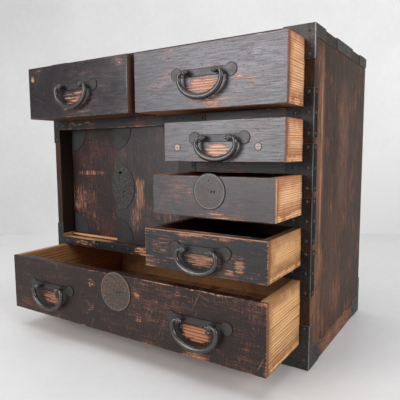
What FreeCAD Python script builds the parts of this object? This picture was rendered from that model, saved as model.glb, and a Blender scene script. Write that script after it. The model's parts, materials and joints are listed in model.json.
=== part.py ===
import FreeCAD, Part

import os
from dataclasses import dataclass
from math import atan2, cos, degrees, pi, sin

# Small tansu chest, in millimetres. +X is to the viewer's right, +Y to the back, +Z up.
# The origin is on the surface that the chest stands on, under the middle of its carcass.

# Carcass boards
CARCASS_WIDTH = 488.0
CARCASS_DEPTH = 271.0
CARCASS_HEIGHT = 449.0
SIDE_BOARD = 13.0
TOP_BOARD = 16.0
BACK_BOARD = 8.0
BOTTOM_BOARD = 8.0
BASE_RAIL_HEIGHT = 25.0
BASE_RAIL_THICKNESS = 18.0
UPPER_SHELF = 15.6
LOWER_SHELF = 19.5
SMALL_RAIL = 16.4
MIDDLE_DIVIDER = 17.5
UPPER_DIVIDER = 7.0
HOUSING_DEPTH = 4.0         # how far shelves and rails enter the side boards
CUT_PAST = 1.0              # how far a cut runs on past the face that it opens

# Clear openings of the front; the uppermost takes the height that is left
WIDE_OPENING_HEIGHT = 89.5
LOW_OPENING_HEIGHT = 51.3
MIDDLE_OPENING_HEIGHT = 53.0
HIGH_OPENING_HEIGHT = 53.8
SMALL_BAY_WIDTH = 178.0
UPPER_LEFT_BAY_WIDTH = 221.3

# Drawers
DRAWER_FRONT = 14.0
DRAWER_LIP = 5.0            # front left in front of the side boards and the bottom
DRAWER_SIDE = 10.0
DRAWER_BACK = 8.0
DRAWER_BOTTOM = 7.5
DRAWER_SIDE_GAP = 0.6
DRAWER_HEAD_GAP = 0.6
DRAWER_REAR_GAP = 3.0
DRAWER_RUNNING_GAP = 0.2
DRAWER_ROUNDING = 0.9

# How far each drawer stands open
UPPER_LEFT_PULL = 61.0
UPPER_RIGHT_PULL = 54.5
HIGH_PULL = 58.7
MIDDLE_PULL = 85.0
LOW_PULL = 104.0
WIDE_PULL = 106.5

# Sliding doors and their tracks
DOOR_THICKNESS = 9.0
DOOR_SETBACK = 12.0         # front door's face behind the carcass front
DOOR_OVERLAP = 17.5
DOOR_JAMB_GAP = 0.3
TRACK_RIDGE = 3.0           # wall between the two grooves
TRACK_GAP = 0.4             # free play of a door in its groove, each side
TRACK_LIP_DROP = 5.0        # front lip below the shelf's own top
TRACK_RIDGE_DROP = 2.0
TRACK_FLOOR_DROP = 8.0
TRACK_HEAD_DEPTH = 9.0      # upper groove, deep enough to lift a door out
DOOR_HEAD_ENGAGEMENT = 3.0
DOOR_FLOOR_GAP = 0.3
LEFT_DOOR_SLID = 4.5        # the left door stands this far open

# Iron fittings
IRON = 1.0
DOOR_PLATE_RADIUS = 43.0
DOOR_PLATE_DROP = 4.0       # plate's centre below the middle of the doorway
DOOR_CORNER_RADIUS = 37.0
DOOR_FITTING_MARGIN = 0.6
JOINT_ARM = 31.0            # half height of a T iron on a stile
JOINT_WRAP = 14.0           # how far a T iron folds round the corner
JOINT_STEM = 24.0           # reach of a T iron along its shelf or rail
DIVIDER_STEM = 14.0
DIVIDER_ARM = 40.0
DIVIDER_FOOT_ARM = 28.0     # stops short of the wide drawer's lock plate
STRAP_LENGTH = 82.0
CORNER_FRONT_REACH = 42.0
CORNER_SIDE_REACH = 41.0
CORNER_EDGE_WIDTH = 10.0    # upright strip on the side board
CORNER_EDGE_HEIGHT = 14.0   # strip along the top edge of the side
TOP_CORNER_DROP = 42.0
FOOT_CORNER_RISE = 62.0
FOOT_CORNER_HEIGHT = 30.0
FOOT_CLEARANCE = 0.5
EDGE_IRON_LENGTH = 86.0
EDGE_IRON_SLANT = 6.0
BACK_IRON_REACH = 43.0
NAIL_HEAD_RADIUS = 2.0
NAIL_HEAD_HEIGHT = 1.0
NAIL_SHANK_RADIUS = 0.8
NAIL_SHANK_LENGTH = 6.0
NAIL_MARGIN = 5.0

# Handles
UPPER_HANDLE_LIFT = 4.65    # bail's axis above the middle of the drawer's front
HIGH_HANDLE_LIFT = 4.0
LOW_HANDLE_LIFT = 4.75
WIDE_HANDLE_LIFT = 4.15
HIGH_HANDLE_OFFSET = -2.0   # handle from the drawer's middle
LOW_HANDLE_OFFSET = -3.0
WIDE_HANDLE_OFFSET = 137.0  # each handle of the wide drawer from its middle
HANDLE_BAND = 10.0
HANDLE_LOBE_RADIUS = 8.6
EYE_STANDOFF = 9.0          # bail's axis in front of the drawer front
POST_HEAD_RADIUS = 4.4
POST_STEM_RADIUS = 2.6
POST_COLLAR_RADIUS = 4.0
POST_COLLAR_HEIGHT = 1.2
CLINCH_LENGTH = 9.0
CLINCH_WIDTH = 3.0
CLINCH_THICKNESS = 1.2
BAIL_PIN_RADIUS = 2.1
BAIL_PIN_GAP = 0.08
BAIL_PIN_TAIL = 5.4         # pin's end, inward of the post's middle
BAIL_SIDE_RADIUS = 3.1
BAIL_MIDDLE_RADIUS = 3.9
BAIL_SHOULDER_DROP = 8.0
BAIL_SECTIONS = 7           # rod sections on each shoulder and each lower quarter

# Locks
MIDDLE_LOCK_RADIUS = 23.0
WIDE_LOCK_RADIUS = 28.5
LOCK_PLATE_OVERLAP = 4.0    # plate above the drawer's top edge
LOCK_CASE_WIDTH = 34.0
LOCK_CASE_HEIGHT = 30.0
LOCK_CASE_DEPTH = 8.0
LOCK_CASE_WALL = 1.5
LOCK_CASE_DROP = 2.0        # case below the drawer's top edge
BOLT_WIDTH = 14.0
BOLT_HEIGHT = 20.0
BOLT_GAP = 0.2
BOLT_THROW = 6.0
MORTISE_GAP = 0.8
KEYHOLE_RADIUS = 1.4
PINHOLE_RADIUS = 1.0
DOOR_SLOT_WIDTH = 8.0
DOOR_SLOT_HEIGHT = 4.0
DOOR_SLOT_RISE = 22.0
DOOR_KEYHOLE_REACH = 20.0
DOOR_KEYHOLE_DROP = 8.0

# Round plugs in the front of the high small drawer
PLUG_RADIUS = 5.0
PLUG_PROUD = 0.4
PLUG_SPACING = 120.0
PLUG_OFFSET = -6.2          # middle of the pair from the drawer's middle
PLUG_RISE = 19.0


@dataclass(frozen=True)
class Handle:
    """Sizes of one pattern of bail handle; overhangs are what stands outside the posts' middles."""

    post_spacing: float
    plate_overhang: float
    bail_overhang: float
    bail_drop: float


SMALL_HANDLE = Handle(post_spacing=40.0, plate_overhang=25.0, bail_overhang=12.0, bail_drop=31.0)
LARGE_HANDLE = Handle(post_spacing=46.0, plate_overhang=27.5, bail_overhang=12.6, bail_drop=36.0)


@dataclass(frozen=True)
class Drawer:
    """A drawer: the opening that it fills, how far it stands out, and what its front carries."""

    name: str
    left: float
    right: float
    floor: float
    ceiling: float
    pulled: float
    handle: Handle = None
    handle_offsets: tuple = ()
    handle_lift: float = 0.0
    lock_radius: float = 0.0
    plugs: bool = False


# Levels, from the ground up
HALF_WIDTH = CARCASS_WIDTH / 2
FRONT_Y = -CARCASS_DEPTH / 2
BACK_Y = CARCASS_DEPTH / 2
INNER_HALF = HALF_WIDTH - SIDE_BOARD
INNER_BACK_Y = BACK_Y - BACK_BOARD
BOTTOM_TOP_Z = BASE_RAIL_HEIGHT + BOTTOM_BOARD
LOWER_SHELF_Z = BOTTOM_TOP_Z + WIDE_OPENING_HEIGHT
LOW_FLOOR_Z = LOWER_SHELF_Z + LOWER_SHELF
LOWER_RAIL_Z = LOW_FLOOR_Z + LOW_OPENING_HEIGHT
MIDDLE_FLOOR_Z = LOWER_RAIL_Z + SMALL_RAIL
UPPER_RAIL_Z = MIDDLE_FLOOR_Z + MIDDLE_OPENING_HEIGHT
HIGH_FLOOR_Z = UPPER_RAIL_Z + SMALL_RAIL
UPPER_SHELF_Z = HIGH_FLOOR_Z + HIGH_OPENING_HEIGHT
UPPER_FLOOR_Z = UPPER_SHELF_Z + UPPER_SHELF
TOP_BOARD_Z = CARCASS_HEIGHT - TOP_BOARD
SMALL_BAY_X = INNER_HALF - SMALL_BAY_WIDTH
DOOR_BAY_X = SMALL_BAY_X - MIDDLE_DIVIDER
UPPER_DIVIDER_X = -INNER_HALF + UPPER_LEFT_BAY_WIDTH

# Door tracks, from the front back
FRONT_DOOR_Y = FRONT_Y + DOOR_SETBACK
REAR_DOOR_Y = FRONT_DOOR_Y + DOOR_THICKNESS + TRACK_RIDGE + 2 * TRACK_GAP
DOOR_WIDTH = (DOOR_BAY_X + INNER_HALF + DOOR_OVERLAP) / 2 - DOOR_JAMB_GAP
DOOR_FLOOR_Z = LOW_FLOOR_Z - TRACK_FLOOR_DROP + DOOR_FLOOR_GAP
DOOR_HEAD_Z = UPPER_SHELF_Z + DOOR_HEAD_ENGAGEMENT
DOOR_PLATE_Z = (LOW_FLOOR_Z + UPPER_SHELF_Z) / 2 - DOOR_PLATE_DROP
LEFT_DOOR_X = -INNER_HALF + DOOR_JAMB_GAP + LEFT_DOOR_SLID
RIGHT_DOOR_X = DOOR_BAY_X - DOOR_JAMB_GAP - DOOR_WIDTH

DRAWER_LENGTH = CARCASS_DEPTH - BACK_BOARD - DRAWER_REAR_GAP

DRAWERS = [
    Drawer("upper_left", -INNER_HALF, UPPER_DIVIDER_X, UPPER_FLOOR_Z, TOP_BOARD_Z,
           pulled=UPPER_LEFT_PULL, handle=LARGE_HANDLE, handle_offsets=(0.0,),
           handle_lift=UPPER_HANDLE_LIFT),
    Drawer("upper_right", UPPER_DIVIDER_X + UPPER_DIVIDER, INNER_HALF, UPPER_FLOOR_Z, TOP_BOARD_Z,
           pulled=UPPER_RIGHT_PULL, handle=LARGE_HANDLE, handle_offsets=(0.0,),
           handle_lift=UPPER_HANDLE_LIFT),
    Drawer("small_high", SMALL_BAY_X, INNER_HALF, HIGH_FLOOR_Z, UPPER_SHELF_Z, pulled=HIGH_PULL,
           handle=SMALL_HANDLE, handle_offsets=(HIGH_HANDLE_OFFSET,),
           handle_lift=HIGH_HANDLE_LIFT, plugs=True),
    Drawer("small_middle", SMALL_BAY_X, INNER_HALF, MIDDLE_FLOOR_Z, UPPER_RAIL_Z,
           pulled=MIDDLE_PULL, lock_radius=MIDDLE_LOCK_RADIUS),
    Drawer("small_low", SMALL_BAY_X, INNER_HALF, LOW_FLOOR_Z, LOWER_RAIL_Z, pulled=LOW_PULL,
           handle=SMALL_HANDLE, handle_offsets=(LOW_HANDLE_OFFSET,),
           handle_lift=LOW_HANDLE_LIFT),
    Drawer("wide", -INNER_HALF, INNER_HALF, BOTTOM_TOP_Z, LOWER_SHELF_Z, pulled=WIDE_PULL,
           handle=LARGE_HANDLE, handle_offsets=(-WIDE_HANDLE_OFFSET, WIDE_HANDLE_OFFSET),
           handle_lift=WIDE_HANDLE_LIFT, lock_radius=WIDE_LOCK_RADIUS),
]


def vector(x, y, z):
    """Return a FreeCAD vector."""
    return FreeCAD.Vector(x, y, z)


def block(x, y, z):
    """Return a box that spans three (low, high) ranges."""
    return Part.makeBox(x[1] - x[0], y[1] - y[0], z[1] - z[0], vector(x[0], y[0], z[0]))


def rod_y(x, z, radius, y_low, y_high):
    """Return a cylinder along Y."""
    return Part.makeCylinder(radius, y_high - y_low, vector(x, y_low, z), vector(0, 1, 0))


def front_softened(board, radius):
    """Round the edges of a board's front face."""
    low_y = board.BoundBox.YMin
    edges = [edge for edge in board.Edges
             if all(abs(vertex.Y - low_y) < 1e-6 for vertex in edge.Vertexes)]
    return board.makeFillet(radius, edges)


def joined(shapes):
    """Fuse touching shapes into one clean solid."""
    first, rest = shapes[0], shapes[1:]
    return first.fuse(rest).removeSplitter() if rest else first


def save(name, shapes):
    """Write one sub-part, of one or more separate solids."""
    shape = shapes[0] if len(shapes) == 1 else Part.makeCompound(shapes)
    shape.exportStep(f"parts/{name}.step")


class Nail:
    """A dome-headed nail driven through an iron: where its head sits and which way it points."""

    def __init__(self, x, y, z, out):
        self.seat = vector(x, y, z)
        self.out = out

    def shank(self):
        """Return the part of the nail that is inside iron and wood."""
        return Part.makeCylinder(NAIL_SHANK_RADIUS, NAIL_SHANK_LENGTH, self.seat, -self.out)

    def solid(self):
        """Return the whole nail."""
        ball_radius = (NAIL_HEAD_RADIUS**2 + NAIL_HEAD_HEIGHT**2) / (2 * NAIL_HEAD_HEIGHT)
        ball_centre = self.seat + self.out * (NAIL_HEAD_HEIGHT - ball_radius)
        ball = Part.makeSphere(ball_radius, ball_centre)
        slab = Part.makeCylinder(ball_radius, ball_radius, self.seat, self.out)
        return joined([ball.common(slab), self.shank()])


FORWARD = FreeCAD.Vector(0, -1, 0)
BACKWARD = FreeCAD.Vector(0, 1, 0)
UPWARD = FreeCAD.Vector(0, 0, 1)


def mirrored(shape):
    """Return the shape's mirror image across the chest's middle plane."""
    return shape.mirror(vector(0, 0, 0), vector(1, 0, 0))


def mirrored_nail(nail):
    """Return the nail's mirror image across the chest's middle plane."""
    return Nail(-nail.seat.x, nail.seat.y, nail.seat.z, vector(-nail.out.x, nail.out.y, nail.out.z))


# ---------------------------------------------------------------- iron fittings of the carcass

IRON_FRONT_Y = FRONT_Y - IRON
IRON_SIDE_X = HALF_WIDTH + IRON
IRON_TOP_Z = CARCASS_HEIGHT + IRON
STILE_X = (INNER_HALF + HALF_WIDTH) / 2
SIDEWAYS = FreeCAD.Vector(1, 0, 0)


def stile_joint_iron(low, high):
    """Make the right-hand T iron that ties the shelf or rail between two levels to its side board.

    Returns the iron and its nails.
    """
    middle = (low + high) / 2
    reach = (middle - JOINT_ARM, middle + JOINT_ARM)
    face = block((INNER_HALF, IRON_SIDE_X), (IRON_FRONT_Y, FRONT_Y), reach)
    wrap = block((HALF_WIDTH, IRON_SIDE_X), (IRON_FRONT_Y, FRONT_Y + JOINT_WRAP), reach)
    stem = block((INNER_HALF - JOINT_STEM, INNER_HALF), (IRON_FRONT_Y, FRONT_Y), (low, high))
    nails = []
    for level in (reach[0] + NAIL_MARGIN, middle, reach[1] - NAIL_MARGIN):
        nails.append(Nail(STILE_X, IRON_FRONT_Y, level, FORWARD))
        nails.append(Nail(IRON_SIDE_X, FRONT_Y + JOINT_WRAP / 2, level, SIDEWAYS))
    nails.append(Nail(INNER_HALF - JOINT_STEM / 2, IRON_FRONT_Y, middle, FORWARD))
    return joined([face, wrap, stem]), nails


def divider_joint_iron(low, high, arm_upright, stem_up):
    """Make a T iron at the middle divider, on the rail or shelf between two levels.

    An upright arm lies on the divider with its stem along the rail; a level arm lies on the
    shelf with its stem up or down the divider, shorter where the stem goes up. Returns the
    iron and its nails.
    """
    y = (IRON_FRONT_Y, FRONT_Y)
    divider = (DOOR_BAY_X, SMALL_BAY_X)
    centre_x = sum(divider) / 2
    middle = (low + high) / 2
    if arm_upright:
        arm = block(divider, y, (middle - JOINT_ARM, middle + JOINT_ARM))
        stem = block((SMALL_BAY_X, SMALL_BAY_X + DIVIDER_STEM), y, (low, high))
        spots = [(centre_x, middle - JOINT_ARM + NAIL_MARGIN), (centre_x, middle),
                 (centre_x, middle + JOINT_ARM - NAIL_MARGIN),
                 (SMALL_BAY_X + DIVIDER_STEM - NAIL_MARGIN, middle)]
    else:
        reach = DIVIDER_FOOT_ARM if stem_up else DIVIDER_ARM
        arm = block((centre_x - reach, centre_x + reach), y, (low, high))
        stem_range = (middle, LOW_FLOOR_Z + DIVIDER_STEM) if stem_up else (low - DIVIDER_STEM, middle)
        stem = block(divider, y, stem_range)
        stem_nail_z = stem_range[1] - NAIL_MARGIN if stem_up else stem_range[0] + NAIL_MARGIN
        spots = [(centre_x - reach + NAIL_MARGIN, middle), (centre_x, middle),
                 (centre_x + reach - NAIL_MARGIN, middle), (centre_x, stem_nail_z)]
    return joined([arm, stem]), [Nail(x, IRON_FRONT_Y, z, FORWARD) for x, z in spots]


def door_strap():
    """Make the strap on the lower shelf's front, under the place where the doors meet."""
    centre_x = RIGHT_DOOR_X
    top = LOW_FLOOR_Z - TRACK_LIP_DROP
    span = (centre_x - STRAP_LENGTH / 2, centre_x + STRAP_LENGTH / 2)
    strap = block(span, (IRON_FRONT_Y, FRONT_Y), (LOWER_SHELF_Z, top))
    middle = (LOWER_SHELF_Z + top) / 2
    nails = [Nail(x, IRON_FRONT_Y, middle, FORWARD)
             for x in (span[0] + NAIL_MARGIN, centre_x, span[1] - NAIL_MARGIN)]
    return strap, nails


def top_front_corner_iron():
    """Make the right-hand iron over the top front corner, folded over front, side and top."""
    low = CARCASS_HEIGHT - TOP_CORNER_DROP
    y_front = (IRON_FRONT_Y, FRONT_Y)
    side_end = FRONT_Y + CORNER_SIDE_REACH
    edge_low = CARCASS_HEIGHT - CORNER_EDGE_HEIGHT
    leaves = [
        block((INNER_HALF, IRON_SIDE_X), y_front, (low, IRON_TOP_Z)),
        block((HALF_WIDTH - CORNER_FRONT_REACH, IRON_SIDE_X), y_front, (TOP_BOARD_Z, IRON_TOP_Z)),
        block((HALF_WIDTH, IRON_SIDE_X), (IRON_FRONT_Y, FRONT_Y + CORNER_EDGE_WIDTH),
              (low, IRON_TOP_Z)),
        block((HALF_WIDTH, IRON_SIDE_X), (IRON_FRONT_Y, side_end), (edge_low, IRON_TOP_Z)),
        block((HALF_WIDTH - CORNER_EDGE_HEIGHT, IRON_SIDE_X), (IRON_FRONT_Y, side_end),
              (CARCASS_HEIGHT, IRON_TOP_Z)),
        block((HALF_WIDTH - CORNER_FRONT_REACH, IRON_SIDE_X),
              (IRON_FRONT_Y, FRONT_Y + CORNER_EDGE_WIDTH), (CARCASS_HEIGHT, IRON_TOP_Z)),
    ]
    strip_y = FRONT_Y + CORNER_EDGE_WIDTH / 2
    edge_z = CARCASS_HEIGHT - CORNER_EDGE_HEIGHT / 2
    nails = [
        Nail(STILE_X, IRON_FRONT_Y, low + NAIL_MARGIN, FORWARD),
        Nail(STILE_X, IRON_FRONT_Y, CARCASS_HEIGHT - TOP_BOARD / 2, FORWARD),
        Nail(HALF_WIDTH - CORNER_FRONT_REACH + NAIL_MARGIN, IRON_FRONT_Y,
             CARCASS_HEIGHT - TOP_BOARD / 2, FORWARD),
        Nail(IRON_SIDE_X, strip_y, low + NAIL_MARGIN, SIDEWAYS),
        Nail(IRON_SIDE_X, side_end - NAIL_MARGIN, edge_z, SIDEWAYS),
    ]
    return joined(leaves), nails


def top_edge_iron():
    """Make the right-hand iron over the middle of the top edge, with slanted ends on the side."""
    half = EDGE_IRON_LENGTH / 2
    edge_low = CARCASS_HEIGHT - CORNER_EDGE_HEIGHT
    outline = Part.makePolygon([
        vector(HALF_WIDTH, -half, IRON_TOP_Z), vector(HALF_WIDTH, half, IRON_TOP_Z),
        vector(HALF_WIDTH, half - EDGE_IRON_SLANT, edge_low),
        vector(HALF_WIDTH, EDGE_IRON_SLANT - half, edge_low),
        vector(HALF_WIDTH, -half, IRON_TOP_Z)])
    leaf = Part.Face(outline).extrude(vector(IRON, 0, 0))
    flange = block((HALF_WIDTH - CORNER_EDGE_HEIGHT, HALF_WIDTH), (-half, half),
                   (CARCASS_HEIGHT, IRON_TOP_Z))
    edge_z = CARCASS_HEIGHT - CORNER_EDGE_HEIGHT / 2
    nails = [Nail(IRON_SIDE_X, y, edge_z, SIDEWAYS)
             for y in (2 * NAIL_MARGIN - half, 0, half - 2 * NAIL_MARGIN)]
    return joined([leaf, flange]), nails


def top_back_corner_iron():
    """Make the right-hand iron over the top back corner."""
    edge_low = CARCASS_HEIGHT - CORNER_EDGE_HEIGHT
    back = (BACK_Y, BACK_Y + IRON)
    side_start = BACK_Y - BACK_IRON_REACH
    leaves = [
        block((HALF_WIDTH, IRON_SIDE_X), (side_start, back[1]), (edge_low, IRON_TOP_Z)),
        block((HALF_WIDTH - BACK_IRON_REACH, IRON_SIDE_X), back, (edge_low, IRON_TOP_Z)),
        block((HALF_WIDTH - CORNER_EDGE_HEIGHT, IRON_SIDE_X), (side_start, back[1]),
              (CARCASS_HEIGHT, IRON_TOP_Z)),
    ]
    edge_z = CARCASS_HEIGHT - CORNER_EDGE_HEIGHT / 2
    nails = [
        Nail(IRON_SIDE_X, side_start + 2 * NAIL_MARGIN, edge_z, SIDEWAYS),
        Nail(HALF_WIDTH - BACK_IRON_REACH + NAIL_MARGIN, back[1], edge_z, BACKWARD),
    ]
    return joined(leaves), nails


def foot_corner_iron(at_back):
    """Make the right-hand iron round a bottom corner, at the front or the back."""
    if at_back:
        face_y = (BACK_Y, BACK_Y + IRON)
        strip_y = (BACK_Y - CORNER_EDGE_WIDTH, face_y[1])
        side_y = (BACK_Y - CORNER_SIDE_REACH, face_y[1])
        nail_y = side_y[0] + 2 * NAIL_MARGIN
        out, seat_y, strip_nail_y = BACKWARD, face_y[1], BACK_Y - CORNER_EDGE_WIDTH / 2
    else:
        face_y = (IRON_FRONT_Y, FRONT_Y)
        strip_y = (face_y[0], FRONT_Y + CORNER_EDGE_WIDTH)
        side_y = (face_y[0], FRONT_Y + CORNER_SIDE_REACH)
        nail_y = side_y[1] - 2 * NAIL_MARGIN
        out, seat_y, strip_nail_y = FORWARD, face_y[0], FRONT_Y + CORNER_EDGE_WIDTH / 2
    rise = (FOOT_CLEARANCE, FOOT_CORNER_RISE)
    foot = (FOOT_CLEARANCE, FOOT_CORNER_HEIGHT)
    leaves = [
        block((INNER_HALF, IRON_SIDE_X), face_y, rise),
        block((HALF_WIDTH - CORNER_FRONT_REACH, IRON_SIDE_X), face_y, foot),
        block((HALF_WIDTH, IRON_SIDE_X), strip_y, rise),
        block((HALF_WIDTH, IRON_SIDE_X), side_y, foot),
    ]
    nails = [
        Nail(STILE_X, seat_y, FOOT_CORNER_RISE - NAIL_MARGIN, out),
        Nail(STILE_X, seat_y, BASE_RAIL_HEIGHT / 2, out),
        Nail(HALF_WIDTH - CORNER_FRONT_REACH + NAIL_MARGIN, seat_y, BASE_RAIL_HEIGHT / 2, out),
        Nail(IRON_SIDE_X, strip_nail_y, FOOT_CORNER_RISE - NAIL_MARGIN, SIDEWAYS),
        Nail(IRON_SIDE_X, nail_y, BASE_RAIL_HEIGHT / 2, SIDEWAYS),
    ]
    return joined(leaves), nails


def carcass_irons():
    """Make every iron on the carcass.

    Returns the corner irons, the T irons and strap, and the nails of both.
    """
    corner_makers = [top_front_corner_iron(), top_edge_iron(), top_back_corner_iron(),
                     foot_corner_iron(at_back=False), foot_corner_iron(at_back=True)]
    corners, joints, nails = [], [], []
    for iron, iron_nails in corner_makers:
        corners += [iron, mirrored(iron)]
        nails += iron_nails + [mirrored_nail(nail) for nail in iron_nails]
    shelves = [(UPPER_SHELF_Z, UPPER_FLOOR_Z), (LOWER_SHELF_Z, LOW_FLOOR_Z)]
    rails = [(LOWER_RAIL_Z, MIDDLE_FLOOR_Z), (UPPER_RAIL_Z, HIGH_FLOOR_Z)]
    for low, high in shelves + rails:
        iron, iron_nails = stile_joint_iron(low, high)
        joints.append(iron)
        nails += iron_nails
    for low, high in shelves:
        left_high = high - TRACK_LIP_DROP if low == LOWER_SHELF_Z else high
        iron, iron_nails = stile_joint_iron(low, left_high)
        joints.append(mirrored(iron))
        nails += [mirrored_nail(nail) for nail in iron_nails]
    for low, high in rails:
        iron, iron_nails = divider_joint_iron(low, high, arm_upright=True, stem_up=False)
        joints.append(iron)
        nails += iron_nails
    lip_top = LOW_FLOOR_Z - TRACK_LIP_DROP
    for low, high, stem_up in ((*shelves[0], False), (LOWER_SHELF_Z, lip_top, True)):
        iron, iron_nails = divider_joint_iron(low, high, arm_upright=False, stem_up=stem_up)
        joints.append(iron)
        nails += iron_nails
    strap, strap_nails = door_strap()
    joints.append(strap)
    nails += strap_nails
    return corners, joints, nails


# ---------------------------------------------------------------- carcass

def lock_mortise(drawer):
    """Return the pocket over a drawer's lock bolt, in the board above the closed drawer."""
    y_middle = FRONT_Y + DRAWER_FRONT + LOCK_CASE_DEPTH / 2
    x_middle = (drawer.left + drawer.right) / 2
    half_width = BOLT_WIDTH / 2 + MORTISE_GAP
    half_depth = (LOCK_CASE_DEPTH - 2 * LOCK_CASE_WALL) / 2 + MORTISE_GAP
    return block((x_middle - half_width, x_middle + half_width),
                 (y_middle - half_depth, y_middle + half_depth),
                 (drawer.ceiling - CUT_PAST, drawer.ceiling + BOLT_THROW + MORTISE_GAP))


def door_grooves():
    """Return the two track grooves as (low, high) ranges in Y, front one first."""
    front = (FRONT_DOOR_Y - TRACK_GAP, FRONT_DOOR_Y + DOOR_THICKNESS + TRACK_GAP)
    rear = (REAR_DOOR_Y - TRACK_GAP, REAR_DOOR_Y + DOOR_THICKNESS + TRACK_GAP)
    return front, rear


def carcass_boards():
    """Make the carcass boards, as a dict of node name to list of solids."""
    depth = (FRONT_Y, INNER_BACK_Y)
    full_depth = (FRONT_Y, BACK_Y)
    housed_left, housed_right = -INNER_HALF - HOUSING_DEPTH, INNER_HALF + HOUSING_DEPTH
    lock_mortises = [lock_mortise(drawer) for drawer in DRAWERS if drawer.lock_radius]

    upper_shelf = block((housed_left, housed_right), depth, (UPPER_SHELF_Z, UPPER_FLOOR_Z))
    lower_shelf = block((housed_left, housed_right), depth, (LOWER_SHELF_Z, LOW_FLOOR_Z))
    rails = {
        "small_rail_lower": block((SMALL_BAY_X - HOUSING_DEPTH, housed_right), depth,
                                  (LOWER_RAIL_Z, MIDDLE_FLOOR_Z)),
        "small_rail_upper": block((SMALL_BAY_X - HOUSING_DEPTH, housed_right), depth,
                                  (UPPER_RAIL_Z, HIGH_FLOOR_Z)),
    }
    sides_z = (BASE_RAIL_HEIGHT, TOP_BOARD_Z)
    right_side = block((INNER_HALF, HALF_WIDTH), full_depth, sides_z)
    left_side = block((-HALF_WIDTH, -INNER_HALF), full_depth, sides_z)
    divider = block((DOOR_BAY_X, SMALL_BAY_X), depth, (LOW_FLOOR_Z, UPPER_SHELF_Z))
    left_side = left_side.cut([upper_shelf, lower_shelf])
    right_side = right_side.cut([upper_shelf, lower_shelf] + list(rails.values()))
    divider = divider.cut(list(rails.values()))

    bay = (-INNER_HALF, DOOR_BAY_X)
    front_groove, rear_groove = door_grooves()
    above_shelf = LOW_FLOOR_Z + CUT_PAST
    lip = block(bay, (FRONT_Y - CUT_PAST, front_groove[0]),
                (LOW_FLOOR_Z - TRACK_LIP_DROP, above_shelf))
    ridge = block(bay, (front_groove[1], rear_groove[0]),
                  (LOW_FLOOR_Z - TRACK_RIDGE_DROP, above_shelf))
    floor_cuts = [block(bay, groove, (LOW_FLOOR_Z - TRACK_FLOOR_DROP, above_shelf))
                  for groove in (front_groove, rear_groove)]
    head_cuts = [block(bay, groove,
                       (UPPER_SHELF_Z - CUT_PAST, UPPER_SHELF_Z + TRACK_HEAD_DEPTH))
                 for groove in (front_groove, rear_groove)]
    lower_shelf = lower_shelf.cut([lip, ridge] + floor_cuts + lock_mortises)
    upper_shelf = upper_shelf.cut(head_cuts)
    rails["small_rail_upper"] = rails["small_rail_upper"].cut(lock_mortises)

    top_board = block((-HALF_WIDTH, HALF_WIDTH), full_depth, (TOP_BOARD_Z, CARCASS_HEIGHT))
    inner_base = BASE_RAIL_THICKNESS
    base_z = (0.0, BASE_RAIL_HEIGHT)
    between = (FRONT_Y + inner_base, BACK_Y - inner_base)
    return {
        "top_board": [top_board],
        "side_left": [left_side],
        "side_right": [right_side],
        "back_board": [block((-INNER_HALF, INNER_HALF), (INNER_BACK_Y, BACK_Y), sides_z)],
        "bottom_board": [block((-INNER_HALF, INNER_HALF), depth,
                               (BASE_RAIL_HEIGHT, BOTTOM_TOP_Z))],
        "base_rails_long": [
            block((-HALF_WIDTH, HALF_WIDTH), (FRONT_Y, between[0]), base_z),
            block((-HALF_WIDTH, HALF_WIDTH), (between[1], BACK_Y), base_z)],
        "base_rails_short": [
            block((left, left + inner_base), between, base_z)
            for left in (-HALF_WIDTH, -inner_base / 2, HALF_WIDTH - inner_base)],
        "shelf_upper": [upper_shelf],
        "shelf_lower": [lower_shelf],
        "small_rail_lower": [rails["small_rail_lower"]],
        "small_rail_upper": [rails["small_rail_upper"]],
        "divider_upper": [block((UPPER_DIVIDER_X, UPPER_DIVIDER_X + UPPER_DIVIDER), depth,
                                (UPPER_FLOOR_Z, TOP_BOARD_Z))],
        "divider_middle": [divider],
    }


# ---------------------------------------------------------------- sliding doors

def quarter_disc(corner_x, corner_z, toward_x, toward_z, y):
    """Return a quarter-round iron whose square corner sits at a door's corner."""
    disc = rod_y(corner_x, corner_z, DOOR_CORNER_RADIUS, y - IRON, y)
    reach = DOOR_CORNER_RADIUS * 2
    x_range = sorted((corner_x, corner_x + toward_x * reach))
    z_range = sorted((corner_z, corner_z + toward_z * reach))
    return disc.common(block(x_range, (y - IRON, y), z_range))


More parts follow.
